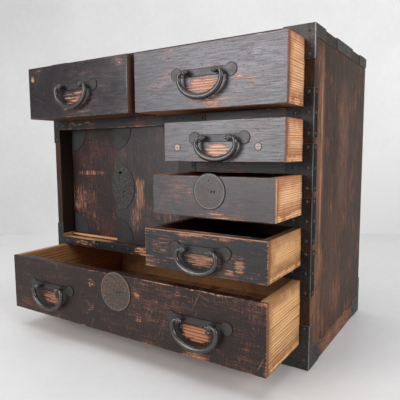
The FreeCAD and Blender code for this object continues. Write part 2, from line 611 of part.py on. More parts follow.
def door(name, left, y, plate_on_right_edge):
    """Make a sliding door with its half lock plate and its four corner irons."""
    right = left + DOOR_WIDTH
    board = block((left, right), (y, y + DOOR_THICKNESS), (DOOR_FLOOR_Z, DOOR_HEAD_Z))
    edge = right if plate_on_right_edge else left
    inward = -1 if plate_on_right_edge else 1
    disc = rod_y(edge, DOOR_PLATE_Z, DOOR_PLATE_RADIUS, y - IRON, y)
    plate = disc.common(block((left, right), (y - IRON, y), (DOOR_FLOOR_Z, DOOR_HEAD_Z)))
    if not plate_on_right_edge:
        slot_x = edge + inward * DOOR_SLOT_WIDTH
        slot = block((slot_x, slot_x + DOOR_SLOT_WIDTH), (y - 2 * IRON, y + DOOR_THICKNESS / 2),
                     (DOOR_PLATE_Z + DOOR_SLOT_RISE,
                      DOOR_PLATE_Z + DOOR_SLOT_RISE + DOOR_SLOT_HEIGHT))
        keyhole = rod_y(edge + inward * DOOR_KEYHOLE_REACH, DOOR_PLATE_Z - DOOR_KEYHOLE_DROP,
                        KEYHOLE_RADIUS, y - 2 * IRON, y + DOOR_THICKNESS)
        plate = plate.cut([slot, keyhole])
        board = board.cut([slot, keyhole])
    low = LOW_FLOOR_Z + DOOR_FITTING_MARGIN
    high = UPPER_SHELF_Z - DOOR_FITTING_MARGIN
    corners = [
        quarter_disc(left + DOOR_FITTING_MARGIN, low, 1, 1, y),
        quarter_disc(right - DOOR_FITTING_MARGIN, low, -1, 1, y),
        quarter_disc(left + DOOR_FITTING_MARGIN, high, 1, -1, y),
        quarter_disc(right - DOOR_FITTING_MARGIN, high, -1, -1, y),
    ]
    save(f"door_{name}", [board])
    save(f"door_{name}_plate", [plate])
    save(f"door_{name}_corner_irons", corners)


# ---------------------------------------------------------------- handles

def rod_section(x, y, z, radius, turn):
    """Return a round section square to a rod that heads along +X turned down by an angle."""
    circle = Part.makeCircle(radius, vector(0, 0, 0), vector(1, 0, 0))
    circle.Placement = FreeCAD.Placement(
        vector(x, y, z), FreeCAD.Rotation(vector(0, 1, 0), degrees(turn)))
    return Part.Wire([circle])


def bail(handle, x, y, z):
    """Make one bail: a rod that thickens from the pins in the post eyes to its lowest point."""
    post_x = handle.post_spacing / 2
    shoulder_x = post_x + POST_HEAD_RADIUS
    side_x = post_x + handle.bail_overhang - BAIL_SIDE_RADIUS
    shoulder_width = side_x - shoulder_x
    lower_height = handle.bail_drop - BAIL_MIDDLE_RADIUS - BAIL_SHOULDER_DROP
    half_path = []
    for step in range(BAIL_SECTIONS):
        angle = pi / 2 * step / BAIL_SECTIONS
        half_path.append((shoulder_x + shoulder_width * sin(angle),
                          BAIL_SHOULDER_DROP * (cos(angle) - 1),
                          BAIL_PIN_RADIUS + (BAIL_SIDE_RADIUS - BAIL_PIN_RADIUS) * sin(angle),
                          atan2(BAIL_SHOULDER_DROP * sin(angle), shoulder_width * cos(angle))))
    for step in range(BAIL_SECTIONS):
        angle = pi / 2 * step / BAIL_SECTIONS
        half_path.append((side_x * cos(angle),
                          -BAIL_SHOULDER_DROP - lower_height * sin(angle),
                          BAIL_SIDE_RADIUS + (BAIL_MIDDLE_RADIUS - BAIL_SIDE_RADIUS) * sin(angle),
                          pi / 2 + atan2(side_x * sin(angle), lower_height * cos(angle))))
    lowest = (0.0, -BAIL_SHOULDER_DROP - lower_height, BAIL_MIDDLE_RADIUS, pi)
    other_half = [(-px, pz, radius, 2 * pi - turn) for px, pz, radius, turn in reversed(half_path)]
    sections = [rod_section(x + px, y, z + pz, radius, turn)
                for px, pz, radius, turn in half_path + [lowest] + other_half]
    hoop = Part.makeLoft(sections, True, False)
    pin_length = POST_HEAD_RADIUS + BAIL_PIN_TAIL
    pins = [Part.makeCylinder(BAIL_PIN_RADIUS, pin_length, vector(x + side * shoulder_x, y, z),
                              vector(-side, 0, 0)) for side in (-1, 1)]
    return hoop.fuse(pins)


def post(x, y, z):
    """Make one post of a handle: eye, stem through plate and front, and clinched legs inside."""
    inside_y = y + DRAWER_FRONT
    eye_y = y - EYE_STANDOFF
    head = Part.makeSphere(POST_HEAD_RADIUS, vector(x, eye_y, z))
    stem = rod_y(x, z, POST_STEM_RADIUS, eye_y, inside_y + CLINCH_THICKNESS)
    collar = rod_y(x, z, POST_COLLAR_RADIUS, y - IRON - POST_COLLAR_HEIGHT, y - IRON)
    legs = block((x - CLINCH_LENGTH, x + CLINCH_LENGTH), (inside_y, inside_y + CLINCH_THICKNESS),
                 (z - CLINCH_WIDTH / 2, z + CLINCH_WIDTH / 2))
    eye = Part.makeCylinder(BAIL_PIN_RADIUS + BAIL_PIN_GAP, 4 * POST_HEAD_RADIUS,
                            vector(x - 2 * POST_HEAD_RADIUS, eye_y, z), vector(1, 0, 0))
    return joined([head, stem, collar, legs]).cut(eye)


def handle_plate(handle, x, y, z):
    """Make the back plate: a band with a round lobe at each end."""
    lobe_x = handle.post_spacing / 2 + handle.plate_overhang - HANDLE_LOBE_RADIUS
    sheet = (y - IRON, y)
    band = block((x - lobe_x, x + lobe_x), sheet, (z - HANDLE_BAND / 2, z + HANDLE_BAND / 2))
    lobes = [rod_y(x + side * lobe_x, z, HANDLE_LOBE_RADIUS, *sheet) for side in (-1, 1)]
    return joined([band] + lobes)


# ---------------------------------------------------------------- drawers

def lock(drawer, x, y, top):
    """Make a drawer's lock: round plate, case behind the front, and bolt; return its holes too."""
    plate_z = top + LOCK_PLATE_OVERLAP - drawer.lock_radius
    plate = rod_y(x, plate_z, drawer.lock_radius, y - IRON, y)
    through = (y - 2 * IRON, y + DRAWER_FRONT + LOCK_CASE_WALL)
    holes = [rod_y(x + 2.5 * KEYHOLE_RADIUS, plate_z, KEYHOLE_RADIUS, *through),
             rod_y(x + 5.5 * KEYHOLE_RADIUS, plate_z, KEYHOLE_RADIUS, *through),
             rod_y(x, plate_z + drawer.lock_radius * 0.6, PINHOLE_RADIUS, y - 2 * IRON, y)]

    case_y = (y + DRAWER_FRONT, y + DRAWER_FRONT + LOCK_CASE_DEPTH)
    case_top = top - LOCK_CASE_DROP
    case = block((x - LOCK_CASE_WIDTH / 2, x + LOCK_CASE_WIDTH / 2), case_y,
                 (case_top - LOCK_CASE_HEIGHT, case_top))
    bolt_y = (case_y[0] + LOCK_CASE_WALL + BOLT_GAP, case_y[1] - LOCK_CASE_WALL - BOLT_GAP)
    bolt_range = (case_top - BOLT_HEIGHT, case_top)
    bolt = block((x - BOLT_WIDTH / 2, x + BOLT_WIDTH / 2), bolt_y, bolt_range)
    channel = block((x - BOLT_WIDTH / 2 - BOLT_GAP, x + BOLT_WIDTH / 2 + BOLT_GAP),
                    (bolt_y[0] - BOLT_GAP, bolt_y[1] + BOLT_GAP),
                    (bolt_range[0] - BOLT_GAP, case_top + CUT_PAST))
    case = case.cut([channel] + holes)
    return plate.cut(holes), case, bolt, holes


def make_drawer(drawer):
    """Make one drawer, its handles, lock and plugs, and save each as its own sub-part."""
    left, right = drawer.left + DRAWER_SIDE_GAP, drawer.right - DRAWER_SIDE_GAP
    low, high = drawer.floor + DRAWER_RUNNING_GAP, drawer.ceiling - DRAWER_HEAD_GAP
    face_y = FRONT_Y - drawer.pulled
    rear_y = face_y + DRAWER_LENGTH
    middle_x = (left + right) / 2
    bottom_top = low + DRAWER_BOTTOM

    front = front_softened(block((left, right), (face_y, face_y + DRAWER_FRONT), (low, high)),
                           DRAWER_ROUNDING)
    sides = [block(x, (face_y + DRAWER_LIP, rear_y), (bottom_top, high))
             for x in ((left, left + DRAWER_SIDE), (right - DRAWER_SIDE, right))]
    bottom = block((left, right), (face_y + DRAWER_LIP, rear_y), (low, bottom_top))
    back = block((left + DRAWER_SIDE, right - DRAWER_SIDE), (rear_y - DRAWER_BACK, rear_y),
                 (bottom_top, high))
    front = front.cut(sides + [bottom])

    if drawer.handle:
        plates, posts = [], []
        handle_z = (low + high) / 2 + drawer.handle_lift
        for index, offset in enumerate(drawer.handle_offsets):
            x = middle_x + offset
            suffix = "" if len(drawer.handle_offsets) == 1 else ("_left", "_right")[index]
            save(f"bail_{drawer.name}{suffix}",
                 [bail(drawer.handle, x, face_y - EYE_STANDOFF, handle_z)])
            plates.append(handle_plate(drawer.handle, x, face_y, handle_z))
            posts += [post(x + side * drawer.handle.post_spacing / 2, face_y, handle_z)
                      for side in (-1, 1)]
        plates = [plate.cut(posts) for plate in plates]
        front = front.cut(posts)
        save(f"handle_plate_{drawer.name}", plates + posts)

    if drawer.lock_radius:
        plate, case, bolt, holes = lock(drawer, middle_x, face_y, high)
        front = front.cut(holes)
        save(f"lock_plate_{drawer.name}", [plate])
        save(f"lock_case_{drawer.name}", [case])
        save(f"lock_bolt_{drawer.name}", [bolt])

    if drawer.plugs:
        plugs = [rod_y(middle_x + PLUG_OFFSET + side * PLUG_SPACING / 2, low + PLUG_RISE,
                       PLUG_RADIUS, face_y - PLUG_PROUD, face_y + DRAWER_FRONT)
                 for side in (-1, 1)]
        front = front.cut(plugs)
        save(f"plugs_{drawer.name}", plugs)

    save(f"drawer_{drawer.name}_front", [front])
    save(f"drawer_{drawer.name}_walls", sides + [back])
    save(f"drawer_{drawer.name}_bottom", [bottom])


# ---------------------------------------------------------------- the whole chest

def main():
    """Make the chest and write one STEP file per sub-part."""
    os.makedirs("parts", exist_ok=True)
    corners, joints, nails = carcass_irons()
    shanks = Part.makeCompound([nail.shank() for nail in nails])
    save("corner_irons", [iron.cut(shanks) for iron in corners])
    save("joint_irons", [iron.cut(shanks) for iron in joints])
    save("nails", [nail.solid() for nail in nails])
    for name, solids in carcass_boards().items():
        save(name, [solid.cut(shanks) for solid in solids])
    door("left", LEFT_DOOR_X, REAR_DOOR_Y, plate_on_right_edge=True)
    door("right", RIGHT_DOOR_X, FRONT_DOOR_Y, plate_on_right_edge=False)
    for drawer in DRAWERS:
        make_drawer(drawer)


main()
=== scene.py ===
"""Dress a small tansu chest, its drawers standing open, and set it in a plain pale studio."""

import json
import logging
import math
import random
from dataclasses import dataclass, replace
from enum import Enum
from typing import Any, Callable, Iterable, Mapping, Sequence, Union

import bmesh
import bpy
from mathutils import Matrix, Vector


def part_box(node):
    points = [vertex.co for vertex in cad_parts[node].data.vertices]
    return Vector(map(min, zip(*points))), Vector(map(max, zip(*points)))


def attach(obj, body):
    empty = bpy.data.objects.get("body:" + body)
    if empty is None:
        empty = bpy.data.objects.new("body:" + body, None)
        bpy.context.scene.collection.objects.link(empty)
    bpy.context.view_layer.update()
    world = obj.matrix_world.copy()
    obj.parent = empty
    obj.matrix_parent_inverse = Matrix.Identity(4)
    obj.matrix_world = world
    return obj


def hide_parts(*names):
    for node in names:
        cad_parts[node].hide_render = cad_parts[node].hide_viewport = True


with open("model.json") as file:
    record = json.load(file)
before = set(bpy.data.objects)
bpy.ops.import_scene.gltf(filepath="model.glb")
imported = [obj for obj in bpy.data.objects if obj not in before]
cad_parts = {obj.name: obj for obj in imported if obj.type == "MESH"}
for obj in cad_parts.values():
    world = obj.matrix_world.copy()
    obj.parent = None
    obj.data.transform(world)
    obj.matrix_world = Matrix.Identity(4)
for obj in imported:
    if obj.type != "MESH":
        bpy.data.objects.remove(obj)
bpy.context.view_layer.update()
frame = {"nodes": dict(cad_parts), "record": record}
LOG = logging.getLogger("tansu")
MM = 0.001
RELIEF = 0.3 * MM               # what a height of 1 stands for in a finish
WELD = 1e-5                     # corners nearer than this are one corner
SHORTEST_EASED = 2.0 * MM       # no shorter edge is eased
HARD_ANGLE = math.radians(40)   # an edge that turns more is eased
SHARP_ANGLE = math.radians(55)  # an edge that turns more stays sharp to the light
HANDLE_BAND = 10.0 * MM         # height of a handle plate between its lobes
SMALL_PLATE = 90.0 * MM         # width of a handle plate
LARGE_PLATE = 101.0 * MM
ARRIS_HIGHLIGHT = (0.5 * MM, 1.1 * MM)    # how far in from the case's arrises a highlight is painted on its irons
RIM_SHADOW = (0.3 * MM, 1.3 * MM)     # how far in from a plate's edge a shadow is painted
HIGHLIGHT_LINE_START = (0.6 * MM, 1.6 * MM)   # where a painted highlight line inside a disc's rim begins
HIGHLIGHT_LINE_END = (1.8 * MM, 3.2 * MM)     # and where it ends
PLUG_CROSS = (0.3 * MM, 0.8 * MM)   # the half breadth of the cross on a plug
TEXTURE_SPREAD = 9.0            # metres that the textures of two boards may lie apart
PITH_SPREAD = 0.01              # metres that a board's pith may lie from where it is put

Colour = tuple[float, float, float, float]
Value = Union["Signal", float]  # what shader arithmetic takes


def shade(red: int, green: int, blue: int) -> Colour:
    """Return the linear colour that shaders take.

    Args:
        red: the display colour's red, 0 to 255.
        green: its green.
        blue: its blue.

    Returns:
        The linear colour, with full alpha.
    """
    channels = [value / 255 for value in (red, green, blue)]
    linear = [c / 12.92 if c <= 0.04045 else ((c + 0.055) / 1.055) ** 2.4 for c in channels]
    return (linear[0], linear[1], linear[2], 1.0)


# ---- shader arithmetic

class Signal:
    """A value in a shader graph that is reckoned with like a number."""

    def __init__(self, graph: "Graph", socket: bpy.types.NodeSocket) -> None:
        """Wrap one output socket."""
        self.graph = graph
        self.socket = socket

    def __add__(self, other: Value) -> "Signal":
        """Return the sum."""
        return self.graph.math("ADD", self, other)

    __radd__ = __add__

    def __sub__(self, other: Value) -> "Signal":
        """Return this less the other."""
        return self.graph.math("SUBTRACT", self, other)

    def __rsub__(self, other: float) -> "Signal":
        """Return the number less this."""
        return self.graph.math("SUBTRACT", other, self)

    def __mul__(self, other: Value) -> "Signal":
        """Return the product."""
        return self.graph.math("MULTIPLY", self, other)

    __rmul__ = __mul__

    def __truediv__(self, other: Value) -> "Signal":
        """Return this over the other."""
        return self.graph.math("DIVIDE", self, other)

    def __neg__(self) -> "Signal":
        """Return the value with its sign turned."""
        return self * -1.0

    def __abs__(self) -> "Signal":
        """Return the size without the sign."""
        return self.graph.math("ABSOLUTE", self)

    def __pow__(self, power: float) -> "Signal":
        """Return the value raised to a power."""
        return self.graph.math("POWER", self, power)

    def lower_of(self, other: Value) -> "Signal":
        """Return the smaller of the two."""
        return self.graph.math("MINIMUM", self, other)

    def higher_of(self, other: Value) -> "Signal":
        """Return the larger of the two."""
        return self.graph.math("MAXIMUM", self, other)

    def fraction(self) -> "Signal":
        """Return what is left above the whole number below."""
        return self.graph.math("FRACT", self)

    def held(self) -> "Signal":
        """Return the value kept between 0 and 1."""
        return self.lower_of(1.0).higher_of(0.0)

    def ramp(self, low: float, high: float) -> "Signal":
        """Return a soft step: 0 below low, 1 above high."""
        return self.graph.node("ShaderNodeMapRange", {"interpolation_type": "SMOOTHSTEP"},
                               {"Value": self, "From Min": low, "From Max": high})


def span(first: Signal, second: Signal) -> Signal:
    """Return the length of a line from its two square legs."""
    return (first * first + second * second) ** 0.5


class Graph:
    """The node tree of one material, or of the world."""

    def __init__(self, owner: bpy.types.Material | bpy.types.World) -> None:
        """Empty the owner's tree."""
        owner.use_nodes = True
        self.owner = owner
        self.tree = owner.node_tree
        self.tree.nodes.clear()

    @classmethod
    def of_material(cls, name: str) -> "Graph":
        """Start the graph of a new material."""
        return cls(bpy.data.materials.new(name))

    def node(self, kind: str, settings: Mapping[str, Any] | None = None,
             inputs: Mapping[int | str, Any] | None = None,
             output: int | str | None = 0) -> Signal | None:
        """Add a node.

        Args:
            kind: the node's type.
            settings: properties that are set first.
            inputs: a value or a Signal for each named or numbered socket.
            output: the socket that is wanted, or None for a node that ends the graph.

        Returns:
            The wanted output.
        """
        made = self.tree.nodes.new(kind)
        for name, value in (settings or {}).items():
            setattr(made, name, value)
        for name, value in (inputs or {}).items():
            if isinstance(value, Signal):
                self.tree.links.new(value.socket, made.inputs[name])
            else:
                made.inputs[name].default_value = value
        return Signal(self, made.outputs[output]) if output is not None else None

    def math(self, operation: str, *terms: Value) -> Signal:
        """Add a Math node on one or more values."""
        return self.node("ShaderNodeMath", {"operation": operation}, dict(enumerate(terms)))

    def vector(self, operation: str, *terms: Any) -> Signal:
        """Add a Vector Math node on one or two vectors."""
        return self.node("ShaderNodeVectorMath", {"operation": operation}, dict(enumerate(terms)))

    def mix(self, share: Value, first: Any, second: Any) -> Signal:
        """Blend two colours; share is how much of the second shows."""
        return self.node("ShaderNodeMix", {"data_type": "RGBA"},
                         {0: share, 6: first, 7: second}, 2)

    def coats(self, ground: Any, *coats: tuple[Value, Any]) -> Signal:
        """Lay coats of colour over a ground.

        Args:
            ground: the colour below.
            coats: how much of each coat shows, and its colour, from the lowest up.

        Returns:
            What is seen of them all.
        """
        for share, colour in coats:
            ground = self.mix(share, ground, colour)
        return ground

    def place(self) -> Signal:
        """Return the point in the piece's own coordinates, in metres."""
        return self.node("ShaderNodeTexCoord", output="Object")

    def facing(self) -> list[Signal]:
        """Return the three parts of the direction that the surface faces."""
        return self.parts(self.node("ShaderNodeTexCoord", output="Normal"))

    def parts(self, vector: Signal) -> list[Signal]:
        """Return a vector's three parts."""
        split = self.node("ShaderNodeSeparateXYZ", None, {0: vector})
        return [Signal(self, out) for out in split.socket.node.outputs]

    def noise(self, vector: Signal, scale: float = 1.0, detail: float = 3.0,
              roughness: float = 0.55) -> Signal:
        """Add a noise field, about 0.5 on average.

        Args:
            vector: the place.
            scale: the frequency of its broadest waves.
            detail: how many finer octaves lie on them.
            roughness: how strong the finer ones are.

        Returns:
            The field.
        """
        return self.node("ShaderNodeTexNoise", None,
                         {"Vector": vector, "Scale": scale, "Detail": detail,
                          "Roughness": roughness})

    def surface(self, colour: Any, roughness: Any, metallic: float = 0.0,
                height: Signal | None = None, clear: Signal | None = None,
                **sockets: float) -> bpy.types.Material:
        """Close the graph with a Principled shader.

        Args:
            colour: the base colour.
            roughness: the roughness.
            metallic: the metallic share.
            height: relief, for a Bump node.
            clear: where nothing is seen of the surface.
            sockets: plain values for other sockets, with _ for a space.

        Returns:
            The material.
        """
        shader = self.node("ShaderNodeBsdfPrincipled", None,
                           {"Base Color": colour, "Roughness": roughness, "Metallic": metallic})
        for name, value in sockets.items():
            shader.socket.node.inputs[name.replace("_", " ")].default_value = value
        if height is not None:
            bump = self.node("ShaderNodeBump", None,
                             {"Strength": 1.0, "Distance": RELIEF, "Height": height})
            self.tree.links.new(bump.socket, shader.socket.node.inputs["Normal"])
        if clear is not None:
            nothing = self.node("ShaderNodeBsdfTransparent")
            shader = self.node("ShaderNodeMixShader", None, {0: clear, 1: shader, 2: nothing})
        self.node("ShaderNodeOutputMaterial", None, {"Surface": shader}, None)
        return self.owner


# ---- what a board is made of

class Run(Enum):
    """The direction of a board's grain: which coordinate runs along it."""

    ALONG_X = 0
    ALONG_Y = 1
    ALONG_Z = 2


class Face(Enum):
    """A side of the chest, as the direction that it faces."""

    FRONT = (1, -1)
    BACK = (1, 1)
    RIGHT = (0, 1)
    LEFT = (0, -1)
    TOP = (2, 1)


@dataclass(frozen=True)
class Patch:
    """A worn place on a face: its middle and half sizes, in mm, and how badly it is worn.

    Wear below 0 keeps the lacquer sound there.
    """

    across: float
    up: float
    half_across: float
    half_up: float
    wear: float = 1.0


@dataclass(frozen=True)
class Streak:
    """Noise drawn out along the grain: its cycles a metre along and across, and its octaves."""

    along: float
    across: float
    detail: float = 3.0
    roughness: float = 0.55


RING_WANDER = Streak(1.5, 30.0)
RING_RIPPLE = Streak(5.0, 160.0)
RING_STRENGTH = Streak(4.0, 120.0, 2.0)
FIBRE = Streak(14.0, 1400.0, 2.0)
PORE = Streak(70.0, 3200.0, 1.0)
SOIL = Streak(5.0, 26.0, 4.0)
FINE_GRAIN = Streak(44.0, 900.0, 4.0, 0.7)
COARSE_GRAIN = Streak(6.0, 150.0, 3.0, 0.6)
FLECK = Streak(52.0, 560.0, 4.0, 0.65)
CROSS_MARK = Streak(430.0, 60.0, 2.0)
HOLE = Streak(150.0, 420.0, 1.0)
HAIRLINE = Streak(16.0, 520.0, 1.0)
BLOOM_CLOUDS = 8.0              # even noises, in cycles a metre
SCRATCH_CLOUDS = 14.0
WEAR_CLOUDS = 24.0
SMEARS = 60.0
SPECKS = 520.0
DUST_SPECKS = 620.0
IRON_CLOUDS = 60.0
IRON_MOTTLE = 300.0
IRON_PITS = 420.0
WORN_THROUGH = (0.46, 0.6)      # the wear at which lacquer gives way to bare wood


@dataclass(frozen=True)
class BareWood:
    """Unfinished wood: its early and late wood, its growth rings, its fibres and its soiling."""

    pale: Colour
    late: Colour
    soil: Colour
    ring_pitch: float
    ring_share: float = 0.8
    fibre: float = 0.5
    soiling: float = 0.5
    roughness: float = 0.72


KEYAKI_WORN = BareWood(
    pale=shade(208, 142, 106), late=shade(74, 38, 26), ring_pitch=3.4 * MM, ring_share=1.0,
    fibre=0.6, soil=shade(84, 50, 38), soiling=0.4)
# pale bare wood for the worn places of the upper drawers, made paler still as painted sheen
PALE_WORN_AND_SHEEN = BareWood(
    pale=shade(220, 160, 132), late=shade(112, 62, 44), ring_pitch=3.0 * MM, ring_share=0.9,
    fibre=0.6, soil=shade(136, 88, 68), soiling=0.4)
TAN_WORN = BareWood(
    pale=shade(194, 142, 108), late=shade(86, 52, 36), ring_pitch=3.2 * MM, fibre=0.6,
    soil=shade(96, 64, 48), soiling=0.4)
MUTED_WORN = replace(TAN_WORN, pale=shade(166, 120, 92))
CEDAR = BareWood(
    pale=shade(255, 202, 152), late=shade(126, 66, 36), ring_pitch=2.6 * MM, fibre=0.85,
    soil=shade(150, 82, 48))
CEDAR_GOLDEN = BareWood(
    pale=shade(244, 190, 132), late=shade(100, 58, 32), ring_pitch=2.1 * MM, fibre=0.85,
    soil=shade(132, 80, 48))
HANDLED_END = replace(CEDAR_GOLDEN, pale=shade(150, 100, 68), late=shade(74, 44, 32))
HANDLED_INSIDE = BareWood(
    pale=shade(190, 140, 94), late=shade(104, 66, 40), ring_pitch=2.4 * MM,
    soil=shade(88, 56, 36))
# darker wood for the insides of the drawers: dust and painted shade
CEDAR_INSIDE = replace(HANDLED_INSIDE, pale=shade(172, 118, 78), late=shade(92, 54, 32),
                       ring_pitch=3.4 * MM)
# dark cedar: the worn wood of the top board, and painted shade on the upper left drawer's walls in
# its narrow gap and inside the low small drawer
DARK_CEDAR_AND_SHADE = BareWood(
    pale=shade(92, 60, 42), late=shade(52, 33, 24), ring_pitch=3.0 * MM, ring_share=0.7,
    soil=shade(38, 27, 22), soiling=0.6)
FRONT_END = BareWood(
    pale=shade(150, 92, 68), late=shade(84, 44, 32), ring_pitch=2.4 * MM, ring_share=0.7,
    fibre=0.6, soil=shade(70, 40, 32), soiling=0.7)
DUSTY_INSIDE = BareWood(
    pale=shade(50, 36, 30), late=shade(32, 23, 20), ring_pitch=3.4 * MM, ring_share=0.5,
    fibre=0.4, soil=shade(22, 18, 16))
TRACK_WOOD = BareWood(
    pale=shade(218, 162, 110), late=shade(150, 92, 56), ring_pitch=3.0 * MM, ring_share=0.6,
    soil=shade(70, 44, 32), soiling=0.4)
PLUG = BareWood(
    pale=shade(198, 178, 166), late=shade(110, 84, 76), ring_pitch=1.0 * MM, ring_share=0.6,
    soil=shade(90, 66, 60), soiling=0.6)


@dataclass(frozen=True)
class Lacquer:
    """Old dark lacquer: its colours where sound, thinned and bloomed (the bloomed colour holds
    painted sheen too), and how it has worn.

    The shares grain, thinning, bloom_and_sheen_share, edge_wear, chipping, hairlines and weave say
    how much each kind of mark shows, the bloomed share with painted sheen in it; chipping may be
    below 0 for a sound finish.
    """

    ground: Colour
    thinned: Colour
    bloom_and_sheen: Colour
    grain: float
    thinning: float
    bloom_and_sheen_share: float
    edge_width: float
    chipping: float
    roughness: float
    edge_wear: float = 0.4
    hairlines: float = 0.3
    gloss: float = 0.5
    weave: float = 0.0
    worn_to: BareWood = KEYAKI_WORN


RUBBED_EDGE = shade(170, 128, 106)
SCRATCH = shade(150, 108, 90)
DUST = shade(150, 128, 114)
# the deep lines and holes of the grain, and the painted shadow along the rims of iron plates
DEEP_LINE_AND_RIM_SHADOW = shade(12, 9, 10)
IRON_PIT = shade(14, 13, 13)
IRON_SIDE_SHADE = shade(20, 18, 18)
PLUG_RIM = shade(58, 46, 44)
FLOOR_COLOUR = shade(226, 226, 227)
WALL_COLOUR = shade(230, 230, 230)
# Each lacquer's bloom_and_sheen colour and share hold painted sheen as well as bloomed lacquer:
# most on the upper right and small high drawers, less on the upper left and lower ones.
LEFT_LACQUER = Lacquer(
    ground=shade(22, 15, 19), thinned=shade(92, 54, 46), bloom_and_sheen=shade(88, 80, 92), grain=0.7,
    thinning=0.4, bloom_and_sheen_share=0.16, edge_width=1.4 * MM, chipping=-0.06, hairlines=0.6,
    roughness=0.26, gloss=0.75)
UPPER_LACQUER = Lacquer(
    ground=shade(38, 30, 34), thinned=shade(116, 80, 70), bloom_and_sheen=shade(116, 112, 126), grain=0.9,
    thinning=0.7, bloom_and_sheen_share=0.42, edge_width=1.4 * MM, chipping=-0.06, roughness=0.42, gloss=0.72,
    worn_to=PALE_WORN_AND_SHEEN)
# the small high drawer: glossier, and its worn wood painted paler still as sheen
HIGH_LACQUER = replace(UPPER_LACQUER, gloss=0.9,
                       worn_to=replace(PALE_WORN_AND_SHEEN, pale=shade(248, 190, 160)))
MIDDLE_LACQUER = Lacquer(
    ground=shade(42, 31, 33), thinned=shade(104, 68, 56), bloom_and_sheen=shade(96, 86, 92), grain=0.6,
    thinning=0.5, bloom_and_sheen_share=0.28, edge_width=1.8 * MM, edge_wear=0.55, chipping=-0.08,
    roughness=0.36, gloss=0.6)
LOWER_LACQUER = Lacquer(
    ground=shade(20, 17, 20), thinned=shade(84, 56, 44), bloom_and_sheen=shade(78, 74, 80), grain=0.7,
    thinning=0.5, bloom_and_sheen_share=0.16, edge_width=2.2 * MM, edge_wear=0.5, chipping=0.12, hairlines=0.5,
    roughness=0.42, gloss=0.35, weave=0.3, worn_to=MUTED_WORN)
WIDE_LACQUER = Lacquer(
    ground=shade(33, 19, 17), thinned=shade(88, 52, 40), bloom_and_sheen=shade(84, 70, 66), grain=0.8,
    thinning=0.7, bloom_and_sheen_share=0.06, edge_width=2.2 * MM, edge_wear=0.5, chipping=-0.03,
    hairlines=0.6, roughness=0.48, gloss=0.28, weave=0.8,
    worn_to=replace(KEYAKI_WORN, pale=shade(184, 124, 90)))
DOOR_LACQUER = Lacquer(
    ground=shade(32, 22, 23), thinned=shade(84, 52, 44), bloom_and_sheen=shade(84, 76, 80), grain=0.8,
    thinning=0.6, bloom_and_sheen_share=0.22, edge_width=2.0 * MM, chipping=0.02, roughness=0.36, gloss=0.4,
    weave=0.3, worn_to=MUTED_WORN)
RED_DOOR_LACQUER = replace(
    DOOR_LACQUER, ground=shade(34, 17, 17), thinned=shade(88, 44, 34), bloom_and_sheen=shade(66, 54, 56),
    bloom_and_sheen_share=0.12, chipping=0.04, roughness=0.42, gloss=0.3, weave=0.5)
CASE_LACQUER = Lacquer(
    ground=shade(44, 29, 21), thinned=shade(116, 76, 50), bloom_and_sheen=shade(188, 128, 92), grain=1.0,
    thinning=0.9, bloom_and_sheen_share=0.08, edge_width=1.6 * MM, edge_wear=0.3, chipping=-0.04,
    roughness=0.56, gloss=0.15, weave=0.3, worn_to=TAN_WORN)
TOP_LACQUER = replace(CASE_LACQUER, ground=shade(26, 20, 18), thinned=shade(60, 45, 37),
                      hairlines=0.0, worn_to=DARK_CEDAR_AND_SHADE)
FRAME_LACQUER = Lacquer(
    ground=shade(24, 18, 18), thinned=shade(122, 60, 42), bloom_and_sheen=shade(56, 54, 60), grain=0.5,
    thinning=0.7, bloom_and_sheen_share=0.10, edge_width=1.5 * MM, edge_wear=0.5, chipping=-0.03,
    hairlines=0.2, roughness=0.42, gloss=0.4, worn_to=TRACK_WOOD)


